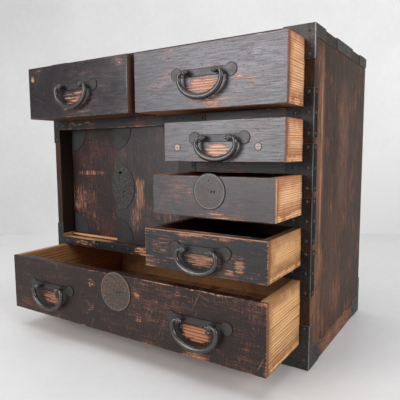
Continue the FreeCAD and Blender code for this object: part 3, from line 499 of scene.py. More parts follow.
class Grain:
    """The places and textures of one board, from which its finish is painted."""

    def __init__(self, graph: Graph, node: str, run: Run, pith: tuple[float, float]) -> None:
        """Set up the coordinates.

        Args:
            graph: the material's graph.
            node: the CAD node, whose box gives the edges and whose name seeds the grain.
            run: the direction of the grain.
            pith: the middle of the tree from the middle of the board, in metres, along the
                two coordinates across the grain.
        """
        self.graph = graph
        self.run = run
        low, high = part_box(node)
        place = graph.place()
        self.place = graph.parts(place)
        self.facing = graph.facing()
        draw = random.Random(node)
        self.moved = graph.vector(
            "ADD", place, [draw.uniform(-TEXTURE_SPREAD, TEXTURE_SPREAD) for _ in range(3)])
        self.from_low = [self.place[i] - low[i] for i in range(3)]
        self.gaps = [self.from_low[i].lower_of(high[i] - self.place[i]) for i in range(3)]
        self.edge = self.gaps[0].lower_of(self.gaps[1]).higher_of(
            self.gaps[0].higher_of(self.gaps[1]).lower_of(self.gaps[2]))
        across = [i for i in range(3) if i != run.value]
        middle = (low + high) / 2
        legs = [self.place[i] - (middle[i] + pith[k] + draw.uniform(-PITH_SPREAD, PITH_SPREAD))
                for k, i in enumerate(across)]
        self.radius = span(*legs)

    def streaks(self, streak: Streak) -> Signal:
        """Return one kind of noise along this board's grain.

        Args:
            streak: the kind.

        Returns:
            The noise, about 0.5 on average.
        """
        scale = [streak.across] * 3
        scale[self.run.value] = streak.along
        return self.graph.noise(self.graph.vector("MULTIPLY", self.moved, scale),
                                1.0, streak.detail, streak.roughness)

    def clouds(self, frequency: float, detail: float = 3.0) -> Signal:
        """Return even noise of one frequency, in cycles a metre."""
        return self.graph.noise(self.moved, frequency, detail)

    def late_wood(self, pitch: float) -> Signal:
        """Return the dark edge of each growth ring.

        Args:
            pitch: the breadth of a ring, in metres.

        Returns:
            How dark each place is.
        """
        wander = ((self.streaks(RING_WANDER) - 0.5) * 4.5
                  + (self.streaks(RING_RIPPLE) - 0.5) * 0.9)
        ring = (self.radius / pitch + wander).fraction()
        strength = self.streaks(RING_STRENGTH).ramp(0.3, 0.62) * 0.55 + 0.45
        return ring.ramp(0.25, 0.9) * (1 - ring.ramp(0.9, 1.0)) * strength

    def toward(self, faces: Iterable[Face]) -> Signal:
        """Return where the surface looks one of these ways.

        Args:
            faces: the ways.

        Returns:
            1 on those faces, and 0 elsewhere.
        """
        total: Value = 0.0
        for face in faces:
            axis, sign = face.value
            total = (self.facing[axis] * float(sign)).ramp(0.35, 0.65) + total
        return total.held()

    def worn_places(self, patches: Sequence[Patch], across_axis: int) -> Value:
        """Return how worn each place is, from the named patches alone.

        Args:
            patches: the worn places.
            across_axis: the level coordinate that they are measured along.

        Returns:
            The wear at each point.
        """
        total: Value = 0.0
        for patch in patches:
            du = (self.place[across_axis] - patch.across * MM) / (patch.half_across * MM)
            dv = (self.place[2] - patch.up * MM) / (patch.half_up * MM)
            total = (1 - abs(du) ** 3 - abs(dv) ** 3).held() * patch.wear + total
        return total

    def hairlines(self, across_axis: int, slope: float) -> Signal:
        """Return fine straight scratches.

        Args:
            across_axis: the level coordinate.
            slope: how far they lean from the level, in degrees.

        Returns:
            1 in a scratch.
        """
        lean = math.radians(slope)
        across, up = self.place[across_axis], self.place[2]
        along = across * math.cos(lean) + up * math.sin(lean)
        aside = up * math.cos(lean) - across * math.sin(lean)
        drawn = self.graph.node("ShaderNodeCombineXYZ", None,
                                {0: along * HAIRLINE.along + slope,
                                 1: aside * HAIRLINE.across})
        return self.graph.noise(drawn, 1.0, HAIRLINE.detail).ramp(0.70, 0.76)


@dataclass(frozen=True)
class Paint:
    """What a finish gives to each point: colour, roughness and relief."""

    colour: Signal
    roughness: Value
    height: Signal


def bare_paint(grain: Grain, wood: BareWood) -> Paint:
    """Paint bare wood.

    Args:
        grain: the board's places and textures.
        wood: the finish.

    Returns:
        The finish at each point.
    """
    late = grain.late_wood(wood.ring_pitch)
    fibre = grain.streaks(FIBRE)
    pores = grain.streaks(PORE).ramp(0.62, 0.72)
    soil = grain.streaks(SOIL).ramp(0.45, 0.75) * wood.soiling
    colour = grain.graph.coats(
        wood.pale, (late * wood.ring_share, wood.late),
        ((fibre - 0.3).held() * wood.fibre, wood.late), (pores * 0.35, wood.late),
        (soil, wood.soil))
    return Paint(colour, wood.roughness, late * 0.35 - pores * 0.5 + fibre * 0.5)


def lacquer_paint(grain: Grain, lacquer: Lacquer, patches: Sequence[Patch],
                  bloom_and_sheen_patches: Sequence[Patch], across_axis: int) -> Paint:
    """Paint lacquer that has worn through to bare wood at patches, edges and chips.

    Args:
        grain: the board's places and textures.
        lacquer: the finish.
        patches: the worn places.
        bloom_and_sheen_patches: the places where the lacquer has bloomed pale, with painted sheen.
        across_axis: the level coordinate that patches are measured along.

    Returns:
        The finish at each point.
    """
    wood = lacquer.worn_to
    under = bare_paint(grain, wood)
    fine = grain.streaks(FINE_GRAIN)
    coarse = grain.streaks(COARSE_GRAIN)
    fleck = grain.streaks(FLECK)
    cross = grain.streaks(CROSS_MARK) - 0.5
    speck = grain.clouds(SPECKS, 2.0)
    cloud = grain.clouds(WEAR_CLOUDS, 4.0)
    near_edge = (1 - grain.edge / lacquer.edge_width).held() * lacquer.edge_wear
    wear = ((fleck - 0.5) * 2.6 + (speck - 0.5) * 0.6 + (cloud - 0.5) * 0.5
            + cross * lacquer.weave + lacquer.chipping
            + near_edge + grain.worn_places(patches, across_axis))
    bare = wear.ramp(*WORN_THROUGH)
    thin = (wear * 0.7 + (cloud - 0.5) * lacquer.thinning * 2.4 + cross * lacquer.weave
            + (coarse - 0.5) * lacquer.thinning * 1.6).ramp(0.0, 0.6)
    # the pale haze of old lacquer together with painted sheen, veiled by the fine grain
    bloom_and_sheen_amount = ((grain.clouds(BLOOM_CLOUDS, 5.0).ramp(0.3, 0.7) * 0.6 + 0.4) * lacquer.bloom_and_sheen_share
            + grain.worn_places(bloom_and_sheen_patches, across_axis))
    veil = bloom_and_sheen_amount * (fine.ramp(0.25, 0.65) * 0.75 + 0.25) * (speck * 1.2 + 0.4)
    line = ((0.5 - fine).held() * 6.5 + (0.44 - coarse).held() * 1.2) * lacquer.grain
    holes = grain.streaks(HOLE).ramp(0.68, 0.72) * lacquer.grain
    dust = (grain.clouds(DUST_SPECKS, 1.0).ramp(0.66, 0.74) * cloud.ramp(0.35, 0.6)
            * lacquer.weave)
    scratch = ((grain.hairlines(across_axis, 64.0) + grain.hairlines(across_axis, -23.0))
               * lacquer.hairlines * grain.clouds(SCRATCH_CLOUDS, 1.0).ramp(0.42, 0.6))
    colour = grain.graph.coats(
        lacquer.ground, (thin * 0.9, lacquer.thinned), (veil.held(), lacquer.bloom_and_sheen),
        (line.held() * 0.9, DEEP_LINE_AND_RIM_SHADOW), (holes.held() * 0.85, DEEP_LINE_AND_RIM_SHADOW), (dust * 0.5, DUST),
        (bare, under.colour), (bare * near_edge.ramp(0.1, 0.5) * 0.6, RUBBED_EDGE),
        (scratch.held(), SCRATCH))
    roughness = (bare * (wood.roughness - lacquer.roughness) + lacquer.roughness
                 + (0.5 - fine) * 0.4 + (cloud - 0.5) * 0.2)
    height = fine * 0.08 + speck * 0.06 - holes * 0.3 - bare * 0.4 + under.height * bare * 0.4
    return Paint(colour, roughness, height)


# ---- pieces made from the frame

def put(name: str, data: Any) -> bpy.types.Object:
    """Put a mesh, a lamp or a camera into the scene."""
    made = bpy.data.objects.new(name, data)
    bpy.context.scene.collection.objects.link(made)
    return made


def body_of(node: str) -> str:
    """Return the body that carries a CAD node."""
    return next(body for body, members in frame["record"]["behaviour"]["bodies"].items()
                if node in members)


def eased_copy(node: str, rounding: float) -> bpy.types.Object:
    """Make a piece with the shape of a CAD node and its hard edges eased by hand.

    Args:
        node: the CAD node that the piece stands for.
        rounding: how much the edges are eased, in metres.

    Returns:
        The piece, riding on the node's body.
    """
    mesh = bmesh.new()
    mesh.from_mesh(frame["nodes"][node].data)
    bmesh.ops.remove_doubles(mesh, verts=mesh.verts, dist=WELD)
    hard = [edge for edge in mesh.edges
            if len(edge.link_faces) == 2 and edge.calc_length() > SHORTEST_EASED
            and edge.calc_face_angle(0.0) > HARD_ANGLE]
    bmesh.ops.bevel(mesh, geom=hard, offset=rounding, offset_type="OFFSET", segments=2,
                    profile=0.5, affect="EDGES", clamp_overlap=False)
    for edge in mesh.edges:
        edge.smooth = len(edge.link_faces) == 2 and edge.calc_face_angle(0.0) < SHARP_ANGLE
    data = bpy.data.meshes.new(f"{node}_eased")
    mesh.to_mesh(data)
    mesh.free()
    data.polygons.foreach_set("use_smooth", [True] * len(data.polygons))
    piece = put(f"{node}_eased", data)
    normals = piece.modifiers.new("flat faces", "WEIGHTED_NORMAL")
    normals.keep_sharp = True
    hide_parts(node)
    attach(piece, body_of(node))
    return piece


def clothe(piece: bpy.types.Object, material: bpy.types.Material) -> None:
    """Give a piece its finish.

    Args:
        piece: the piece.
        material: its finish.
    """
    piece.data.materials.clear()
    piece.data.materials.append(material)


def clothe_node(node: str, material: bpy.types.Material) -> None:
    """Give a carried-over CAD node a finish in place of its plain one.

    Args:
        node: the CAD node.
        material: its finish.
    """
    keeper = frame["nodes"][node]
    for holder in keeper.material_slots:
        holder.link = "OBJECT"
        holder.material = material


@dataclass(frozen=True)
class Board:
    """One wooden piece: which way its grain runs, which faces are lacquered, where it has worn."""

    node: str
    run: Run
    pith: tuple[float, float]
    wood: BareWood = DUSTY_INSIDE
    slot: str = "carcass_wood"
    lacquer: Lacquer | None = None
    lacquered: tuple[Face, ...] = (Face.FRONT,)
    patches: tuple[Patch, ...] = ()
    bloom_and_sheen_patches: tuple[Patch, ...] = ()
    patch_axis: int = 0
    easing: float = 0.0

    def material(self) -> bpy.types.Material:
        """Mix the lacquer of the lacquered faces with the bare wood of the others.

        Returns:
            The finish of this board.
        """
        graph = Graph.of_material(f"{self.node}_finish")
        grain = Grain(graph, self.node, self.run, self.pith)
        bare = bare_paint(grain, self.wood)
        if self.lacquer is None:
            return graph.surface(bare.colour, bare.roughness, height=bare.height)
        skin = lacquer_paint(grain, self.lacquer, self.patches, self.bloom_and_sheen_patches, self.patch_axis)
        share = grain.toward(self.lacquered)
        roughness = share * (skin.roughness - bare.roughness) + bare.roughness
        height = share * (skin.height - bare.height) + bare.height
        return graph.surface(graph.mix(share, bare.colour, skin.colour), roughness,
                             height=height, Specular_IOR_Level=self.lacquer.gloss)

    def build(self) -> None:
        """Dress the node, or an eased copy of it."""
        if self.easing:
            clothe(eased_copy(self.node, self.easing), self.material())
        else:
            clothe_node(self.node, self.material())
        LOG.info("board %s", self.node)


# ---- iron

@dataclass(frozen=True)
class Iron:
    """Blackened iron: its skin and patina, wear and painted highlight on its edges, painted shade
    on its sides.
    """

    name: str
    skin: Colour
    brown: Colour
    bright: Colour
    edge_wear: float
    browning: float = 0.5
    roughness: float = 0.44
    pitting: float = 0.5
    metallic: float = 0.55
    side_shade: float = 0.0

    def paint(self, graph: Graph) -> Paint:
        """Paint the iron.

        Args:
            graph: the graph to paint in.

        Returns:
            The finish at each point.
        """
        place = graph.place()
        facing = graph.facing()
        square = abs(facing[0]).higher_of(abs(facing[1])).higher_of(abs(facing[2]))
        cloud = graph.noise(place, IRON_CLOUDS, 4.0)
        mottle = graph.noise(place, IRON_MOTTLE, 4.0, 0.7)
        pits = graph.noise(place, IRON_PITS, 2.0)
        brown = (cloud * 0.5 + mottle * 0.5).ramp(0.44, 0.6) * self.browning
        low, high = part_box("corner_irons")
        across, along, _ = graph.parts(place)
        from_side = (across - low[0]).lower_of(high[0] - across)
        # a painted highlight along the front corner of the case, and bright worn edges with
        # painted highlight
        arris_highlight = 1 - from_side.higher_of(along - low[1]).ramp(*ARRIS_HIGHLIGHT)
        edge = (1 - square.ramp(0.88, 0.995)).higher_of(arris_highlight) * self.edge_wear
        rubbed_and_highlight = (edge * (0.5 + mottle) + mottle.ramp(0.54, 0.7) * 0.5 * self.pitting).held()
        dark = ((0.5 - pits).held() * 5.0 + (0.47 - mottle).held() * 4.0) * self.pitting
        # painted shade on the faces turned away from front, back and top
        aside = (0.8 - abs(facing[1]) - facing[2].held()).held() * self.side_shade
        colour = graph.coats(self.skin, (brown, self.brown), (rubbed_and_highlight, self.bright),
                             (dark.held(), IRON_PIT), (aside * (1 - arris_highlight), IRON_SIDE_SHADE))
        roughness = ((mottle - 0.5) * 0.4 + brown * 0.15 + self.roughness - rubbed_and_highlight * 0.1
                     + aside * 0.4)
        return Paint(colour, roughness, (mottle * 0.6 + pits * 0.3) * self.pitting)

    def material(self) -> bpy.types.Material:
        """Make the finish, or find it where it was made before.

        Returns:
            The material.
        """
        known = bpy.data.materials.get(self.name)
        if known is not None:
            return known
        graph = Graph.of_material(self.name)
        skin = self.paint(graph)
        return graph.surface(skin.colour, skin.roughness, self.metallic, skin.height)

    def disc(self, node: str) -> bpy.types.Material:
        """Make the finish of a round plate, with a painted highlight line inside a painted shadow
        at its rim.

        Args:
            node: the plate's CAD node.

        Returns:
            The material.
        """
        graph = Graph.of_material(f"{node}_finish")
        skin = self.paint(graph)
        low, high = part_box(node)
        middle = (low + high) / 2
        place = graph.parts(graph.place())
        aside, upward = place[0] - middle[0], place[2] - middle[2]
        inset = (high[0] - low[0]) / 2 - span(aside, upward)
        # a painted highlight line inside the rim, and a painted shadow at the rim itself
        line = inset.ramp(*HIGHLIGHT_LINE_START) * (1 - inset.ramp(*HIGHLIGHT_LINE_END))
        colour = graph.coats(skin.colour, (line * 0.3, self.bright),
                             ((1 - inset.ramp(*RIM_SHADOW)) * 0.8, DEEP_LINE_AND_RIM_SHADOW))
        return graph.surface(colour, skin.roughness, self.metallic, skin.height + line * 0.3)

    def lobed(self, node: str, width: float) -> bpy.types.Material:
        """Make the finish of handle plates: bands with a round lobe at each end, with a painted
        shadow along the rim.

        Args:
            node: the CAD node that holds one plate, or two on either side of its middle.
            width: the width of one plate, in metres.

        Returns:
            The material.
        """
        graph = Graph.of_material(f"{node}_finish")
        skin = self.paint(graph)
        low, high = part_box(node)
        middle, radius = (low + high) / 2, (high[2] - low[2]) / 2
        place = graph.parts(graph.place())
        aside = abs(place[0] - middle[0])
        holds_two = high[0] - low[0] > 1.5 * width
        if holds_two:
            aside = abs(aside - (high[0] - low[0] - width) / 2)
        past_lobe = aside - (width / 2 - radius)
        upward = abs(place[2] - middle[2])
        lobe = span(past_lobe, upward) - radius
        inset = -lobe.lower_of((upward - HANDLE_BAND / 2).higher_of(past_lobe))
        # painted shadow along the plate's rim
        colour = graph.mix((1 - inset.ramp(*RIM_SHADOW)) * 0.85, skin.colour, DEEP_LINE_AND_RIM_SHADOW)
        return graph.surface(colour, skin.roughness, self.metallic, skin.height)


# a lighter skin than the sheet iron: painted sheen, as on the irons near the top of the case
CORNER_IRON_PAINTED_SHEEN = Iron(
    name="corner_iron", skin=shade(54, 50, 49), brown=shade(62, 50, 42),
    bright=shade(140, 142, 146), browning=0.6, edge_wear=1.0, side_shade=0.2)
SHEET_IRON = Iron(
    name="sheet_iron", skin=shade(32, 31, 32), brown=shade(46, 37, 32),
    bright=shade(112, 112, 114), edge_wear=0.9, side_shade=1.1)
HANDLE_IRON = Iron(
    name="handle_iron", skin=shade(58, 55, 54), brown=shade(54, 46, 42),
    bright=shade(104, 106, 108), edge_wear=0.35, roughness=0.42, pitting=0.35, side_shade=1.1)
# the handle plates of the upper right and small high drawers, lighter than the others as painted
# sheen
HANDLE_IRON_PAINTED_SHEEN = Iron(
    name="handle_iron_painted_sheen", skin=shade(74, 72, 73), brown=shade(66, 61, 59),
    bright=shade(104, 106, 106), browning=0.4, edge_wear=0.2, pitting=0.25, side_shade=1.2)
PLATE_IRON = Iron(
    name="door_plate_iron", skin=shade(54, 54, 55), brown=shade(52, 42, 38),
    bright=shade(146, 140, 128), browning=0.6, edge_wear=0.9, roughness=0.5, pitting=0.85,
    side_shade=0.6)
DOOR_IRON = Iron(
    name="door_iron", skin=shade(48, 48, 50), brown=shade(48, 38, 36), bright=shade(96, 94, 92),
    browning=0.7, edge_wear=0.3, roughness=0.5, pitting=0.45)
GREY_LOCK_IRON = Iron(
    name="grey_lock_iron", skin=shade(78, 76, 76), brown=shade(82, 70, 64),
    bright=shade(130, 128, 128), edge_wear=0.8, roughness=0.46, pitting=0.35)
BROWN_LOCK_IRON = Iron(
    name="brown_lock_iron", skin=shade(72, 65, 63), brown=shade(98, 72, 58),
    bright=shade(140, 128, 120), browning=0.8, edge_wear=0.9, roughness=0.48, pitting=0.8)
# a near-black lock case, so that the keyholes show dark: painted shade
LOCK_CASE_PAINTED_SHADE = Iron(
    name="lock_case_painted_shade", skin=shade(14, 13, 13), brown=shade(20, 16, 14), bright=shade(30, 28, 27),
    browning=0.4, edge_wear=0.2, roughness=0.6)
BAIL_IRON = Iron(
    name="bail_iron", skin=shade(80, 78, 77), brown=shade(62, 56, 52),
    bright=shade(116, 114, 112), browning=0.3, edge_wear=0.0, roughness=0.30, pitting=0.1,
    metallic=0.8)
NAIL_IRON = Iron(
    name="nail_iron", skin=shade(44, 43, 43), brown=shade(48, 42, 39),
    bright=shade(120, 118, 116), browning=0.3, edge_wear=0.3, roughness=0.36)


# ---- sub-assemblies

@dataclass(frozen=True)
class Carcass:
    """The case: sides, top, base frame, shelves, rails and dividers."""

    side_easing: float = 0.9 * MM
    rail_easing: float = 0.5 * MM

    def boards(self) -> list[Board]:
        """List every board of the case.

        Returns:
            The boards, each with its grain, its finish and its wear.
        """
        outside = (Face.RIGHT, Face.LEFT, Face.FRONT, Face.BACK, Face.TOP)
        right = Board(
            "side_right", Run.ALONG_Z, (0.03, 0.16), lacquer=CASE_LACQUER,
            lacquered=(Face.RIGHT, Face.FRONT, Face.BACK), patch_axis=1,
            patches=(Patch(-99, 300, 3, 130, 0.26), Patch(-103, 150, 4, 140, 0.16),
                     Patch(10, 310, 34, 80, 0.08), Patch(-128, 80, 8, 18, 0.4),
                     Patch(-10, 240, 4, 16, 0.4), Patch(40, 400, 100, 40, -0.15),
                     Patch(120, 230, 40, 220, -0.2), Patch(-137, 230, 4, 260, -1.1)),
            # pale bloomed streaks with painted sheen down the front part of the side
            bloom_and_sheen_patches=(Patch(-106, 320, 20, 110, 0.36), Patch(-101, 290, 3, 170, 0.8),
                   Patch(-108, 130, 22, 150, 0.22), Patch(10, 300, 34, 110, 0.20),
                   Patch(-40, 120, 60, 140, 0.08)),
            easing=self.side_easing)
        left = replace(right, node="side_left", lacquered=(Face.LEFT, Face.FRONT, Face.BACK))
        top = Board("top_board", Run.ALONG_X, (0.16, 0.03), lacquer=TOP_LACQUER,
                    lacquered=outside, easing=self.side_easing)
        long_rails = replace(top, node="base_rails_long", lacquer=CASE_LACQUER)
        short_rails = replace(long_rails, node="base_rails_short", run=Run.ALONG_Y,
                              patches=(Patch(0, 12, 140, 14, 0.3),),
                              bloom_and_sheen_patches=(Patch(0, 12, 140, 14, 0.35),), patch_axis=1)
        back = Board("back_board", Run.ALONG_X, (0.03, 0.16), slot="inner_wood",
                     lacquer=CASE_LACQUER, lacquered=(Face.BACK,))
        bottom = Board("bottom_board", Run.ALONG_X, (0.16, 0.03), slot="inner_wood")
        rail = Board("small_rail_upper", Run.ALONG_X, (0.16, 0.02), lacquer=FRAME_LACQUER,
                     easing=self.rail_easing)
        upper_shelf = replace(rail, node="shelf_upper", patches=(Patch(-190, 340, 60, 9, 0.25),))
        lower_shelf = replace(
            rail, node="shelf_lower", wood=TRACK_WOOD, lacquered=(Face.FRONT, Face.TOP),
            patches=(Patch(-170, 130, 34, 7, 0.36), Patch(-30, 130, 34, 8, 0.7),
                     Patch(-168, 138.5, 72, 2.4, 1.6)))
        divider = replace(rail, node="divider_upper", run=Run.ALONG_Z, pith=(0.02, 0.16))
        return [right, left, top, long_rails, short_rails, back, bottom, upper_shelf,
                lower_shelf, rail, replace(rail, node="small_rail_lower"), divider,
                replace(divider, node="divider_middle")]

    def build(self) -> None:
        """Dress the case."""
        for board in self.boards():
            board.build()


@dataclass(frozen=True)
class Ironwork:
    """The sheet irons of the case and their nails."""

    easing: float = 0.35 * MM

    def build(self) -> None:
        """Dress the irons and nails."""
        for node, iron in (("corner_irons", CORNER_IRON_PAINTED_SHEEN), ("joint_irons", SHEET_IRON)):
            clothe(eased_copy(node, self.easing), iron.material())
            LOG.info("irons %s", node)
        clothe_node("nails", NAIL_IRON.material())
        LOG.info("nails")


@dataclass(frozen=True)
class SlidingDoor:
    """One of the two sliding doors, with its half plate and corner irons."""

    side: str
    lacquer: Lacquer
    patches: tuple[Patch, ...]
    easing: float = 0.4 * MM
    plate_easing: float = 0.25 * MM

    def build(self) -> None:
        """Dress the door and its irons."""
        node = f"door_{self.side}"
        Board(node, Run.ALONG_Z, (0.04, 0.14), slot="door_wood", lacquer=self.lacquer,
              lacquered=(Face.FRONT, Face.LEFT, Face.RIGHT), patches=self.patches,
              easing=self.easing).build()
        for part, iron in (("plate", PLATE_IRON), ("corner_irons", DOOR_IRON)):
            clothe(eased_copy(f"{node}_{part}", self.plate_easing), iron.material())
        LOG.info("door %s", self.side)


@dataclass(frozen=True)
class Drawer:
    """One drawer: front, walls and bottom, with its handles, lock or plugs."""

    name: str
    lacquer: Lacquer
    patches: tuple[Patch, ...]
    bails: tuple[str, ...] = ()
    bloom_and_sheen_patches: tuple[Patch, ...] = ()
    outside: BareWood = CEDAR
    inside: BareWood = CEDAR_INSIDE
    end: BareWood = FRONT_END
    handle_iron: Iron = HANDLE_IRON
    plate_width: float = LARGE_PLATE
    lock_iron: Iron = GREY_LOCK_IRON
    has_lock: bool = False
    has_plugs: bool = False
    easing: float = 0.5 * MM
    lock_easing: float = 0.3 * MM
    wall_darkening_reach: float = 16.0 * MM
    bottom_darkening_reach: float = 2.0 * MM
    smear: float = 24.0 * MM
    front_shadow: float = 5.0 * MM

    def plain_wood(self, part: str, darkening_reach: float) -> bpy.types.Material:
        """Make the finish of the walls or the bottom: clean at the outer sides, darker within with
        dust and painted shade.

        Args:
            part: the node's last word.
            darkening_reach: how far in from the edges the wood is painted darker, in metres.

        Returns:
            The material.
        """
        node = f"drawer_{self.name}_{part}"
        graph = Graph.of_material(f"{node}_finish")
        grain = Grain(graph, node, Run.ALONG_Y, (0.03, -0.13))
        clean = bare_paint(grain, self.outside)
        dull = bare_paint(grain, self.inside)
        outer = 1 - grain.gaps[0].ramp(0.4 * MM, 0.6 * MM)
        smear = (grain.clouds(SMEARS, 4.0) - 0.5) * self.smear
        # darker toward the edges of the walls and the bottom
        edge_darkening = (1 - (grain.edge + smear) / darkening_reach).held() * 0.75
        # painted shadow on the walls beside the drawer front
        painted_front_shadow = (1 - (grain.from_low[1] + smear * 0.3) / self.front_shadow).held()
        colour = graph.coats(clean.colour, (edge_darkening, self.outside.soil),
                             (painted_front_shadow * 0.5, FRONT_END.late))
        return graph.surface(graph.mix(outer, dull.colour, colour), clean.roughness,
                             height=clean.height, Specular_IOR_Level=0.3)

    def plugs(self) -> bpy.types.Material:
        """Make the finish of the two plugs: end grain with a cross and a dark rim.

        Returns:
            The material.
        """
        node = f"plugs_{self.name}"
        graph = Graph.of_material(f"{node}_finish")
        grain = Grain(graph, node, Run.ALONG_Y, (0.004, 0.004))
        low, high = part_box(node)
        radius = (high[2] - low[2]) / 2
        aside = abs(grain.place[0] - low[0] - radius).lower_of(
            abs(grain.place[0] - high[0] + radius))
        upward = abs(grain.place[2] - (low[2] + high[2]) / 2)
        rim = (span(aside, upward) / radius).ramp(0.74, 0.9)
        cross = (1 - aside.lower_of(upward).ramp(*PLUG_CROSS)) * 0.6
        bare = bare_paint(grain, PLUG)
        colour = graph.mix(rim.higher_of(cross), bare.colour, PLUG_RIM)
        return graph.surface(colour, 0.45, height=bare.height - rim)

    def build(self) -> None:
        """Dress every piece of the drawer."""
        Board(f"drawer_{self.name}_front", Run.ALONG_X, (0.03, -0.11), self.end,
              "front_lacquer", self.lacquer, (Face.FRONT, Face.TOP),
              self.patches, self.bloom_and_sheen_patches, easing=self.easing).build()
        for part, darkening_reach in (("walls", self.wall_darkening_reach), ("bottom", self.bottom_darkening_reach)):
            clothe_node(f"drawer_{self.name}_{part}", self.plain_wood(part, darkening_reach))
        if self.bails:
            plates = f"handle_plate_{self.name}"
            clothe_node(plates, self.handle_iron.lobed(plates, self.plate_width))
            bail_iron = BAIL_IRON.material()
            for bail in self.bails:
                clothe_node(f"bail_{bail}", bail_iron)
        if self.has_lock:
            plate = f"lock_plate_{self.name}"
            clothe(eased_copy(plate, self.lock_easing), self.lock_iron.disc(plate))
            clothe_node(f"lock_case_{self.name}", LOCK_CASE_PAINTED_SHADE.material())
            clothe_node(f"lock_bolt_{self.name}", SHEET_IRON.material())
        if self.has_plugs:
            clothe_node(f"plugs_{self.name}", self.plugs())
        LOG.info("drawer %s", self.name)


DRAWERS = (
    Drawer("upper_left", LEFT_LACQUER,
           (Patch(-220, 414, 5, 5), Patch(-188, 424, 20, 6, 0.28),
            Patch(-21, 421, 12, 10, 0.35), Patch(-200, 370, 60, 40, -0.15),
            Patch(-124, 379, 25, 11, 0.5), Patch(-120, 364, 38, 10, 0.22)),
           # the upper left drawer's wood is painted dark as the shade in the gap beside it
           ("upper_left",), outside=DARK_CEDAR_AND_SHADE, inside=DARK_CEDAR_AND_SHADE, end=DARK_CEDAR_AND_SHADE),
    Drawer("upper_right", UPPER_LACQUER,
           (Patch(112, 379, 30, 13, 0.75), Patch(128, 357, 34, 10, 0.38),
            Patch(172, 385, 24, 8, 0.36), Patch(160, 366, 60, 26, 0.16),
            Patch(66, 428, 6, 4, 0.4), Patch(194, 433, 4, 2, 0.9)),
           ("upper_right",),
           # pale bloomed spots with painted sheen at the top right of the front
           (Patch(191, 412, 7, 5, 0.7), Patch(203, 406, 26, 16, 0.25),
            Patch(160, 396, 60, 34, 0.1)),
           handle_iron=HANDLE_IRON_PAINTED_SHEEN),
    Drawer("small_high", HIGH_LACQUER,
           (Patch(138, 295, 22, 10, 0.9), Patch(140, 283, 24, 5, 0.4)),
           ("small_high",), handle_iron=HANDLE_IRON_PAINTED_SHEEN, plate_width=SMALL_PLATE,
           has_plugs=True),
    Drawer("small_middle", MIDDLE_LACQUER,
           (Patch(145, 216, 22, 6, 0.42), Patch(113, 242, 6, 8, 0.4), Patch(175, 226, 18, 7, 0.3),
            Patch(158, 212, 40, 5, 0.3)),
           end=CEDAR_GOLDEN, has_lock=True),
    Drawer("small_low", LOWER_LACQUER,
           (Patch(96, 172, 28, 13, 0.04), Patch(141, 161, 22, 12, 0.5),
            Patch(195, 158, 8, 11, 0.62), Patch(181, 150, 8, 4, 0.6),
            Patch(151, 191, 62, 6, 0.4)),
           ("small_low",), outside=CEDAR_GOLDEN, inside=DARK_CEDAR_AND_SHADE,
           end=HANDLED_END, plate_width=SMALL_PLATE),
    Drawer("wide", WIDE_LACQUER,
           (Patch(-139, 64, 24, 12, 0.85), Patch(134, 66, 26, 12, 1.1), Patch(133, 37, 28, 7, 0.5),
            Patch(-48, 102, 8, 7, 0.6), Patch(-49, 64, 9, 8, 0.4), Patch(40, 66, 8, 7, 0.4),
            Patch(38, 98, 6, 6, 0.5), Patch(126, 118, 104, 18, 0.12),
            Patch(-142, 38, 40, 12, 0.14), Patch(-160, 90, 90, 70, -0.16)),
           ("wide_left", "wide_right"), outside=CEDAR_GOLDEN, end=HANDLED_END,
           inside=HANDLED_INSIDE, lock_iron=BROWN_LOCK_IRON, has_lock=True),
)

DOORS = (
    SlidingDoor("right", DOOR_LACQUER,
                (Patch(-52, 224, 12, 29, 0.75), Patch(-63, 184, 15, 32, 0.42),
                 Patch(2, 192, 36, 16, 0.3))),
    SlidingDoor("left", RED_DOOR_LACQUER,
                (Patch(-210, 203, 20, 27, 0.26), Patch(-181, 255, 42, 5, 0.45),
                 Patch(-190, 199, 44, 54, 0.2))),
)


# ---- studio

@dataclass(frozen=True)
class Lamp:
    """A soft box: where it hangs, where it looks, its size in metres and its power in watts."""

    name: str
    place: tuple[float, float, float]
    aim: tuple[float, float, float]
    width: float
    height: float
    watts: float

    def build(self) -> None:
        """Hang the lamp."""
        data = bpy.data.lights.new(self.name, "AREA")
        data.shape = "RECTANGLE"
        data.size, data.size_y, data.energy = self.width, self.height, self.watts
        lamp = put(self.name, data)
        lamp.location = self.place
        lamp.rotation_mode = "QUATERNION"
        lamp.rotation_quaternion = (Vector(self.aim) - Vector(self.place)).to_track_quat("-Z", "Y")


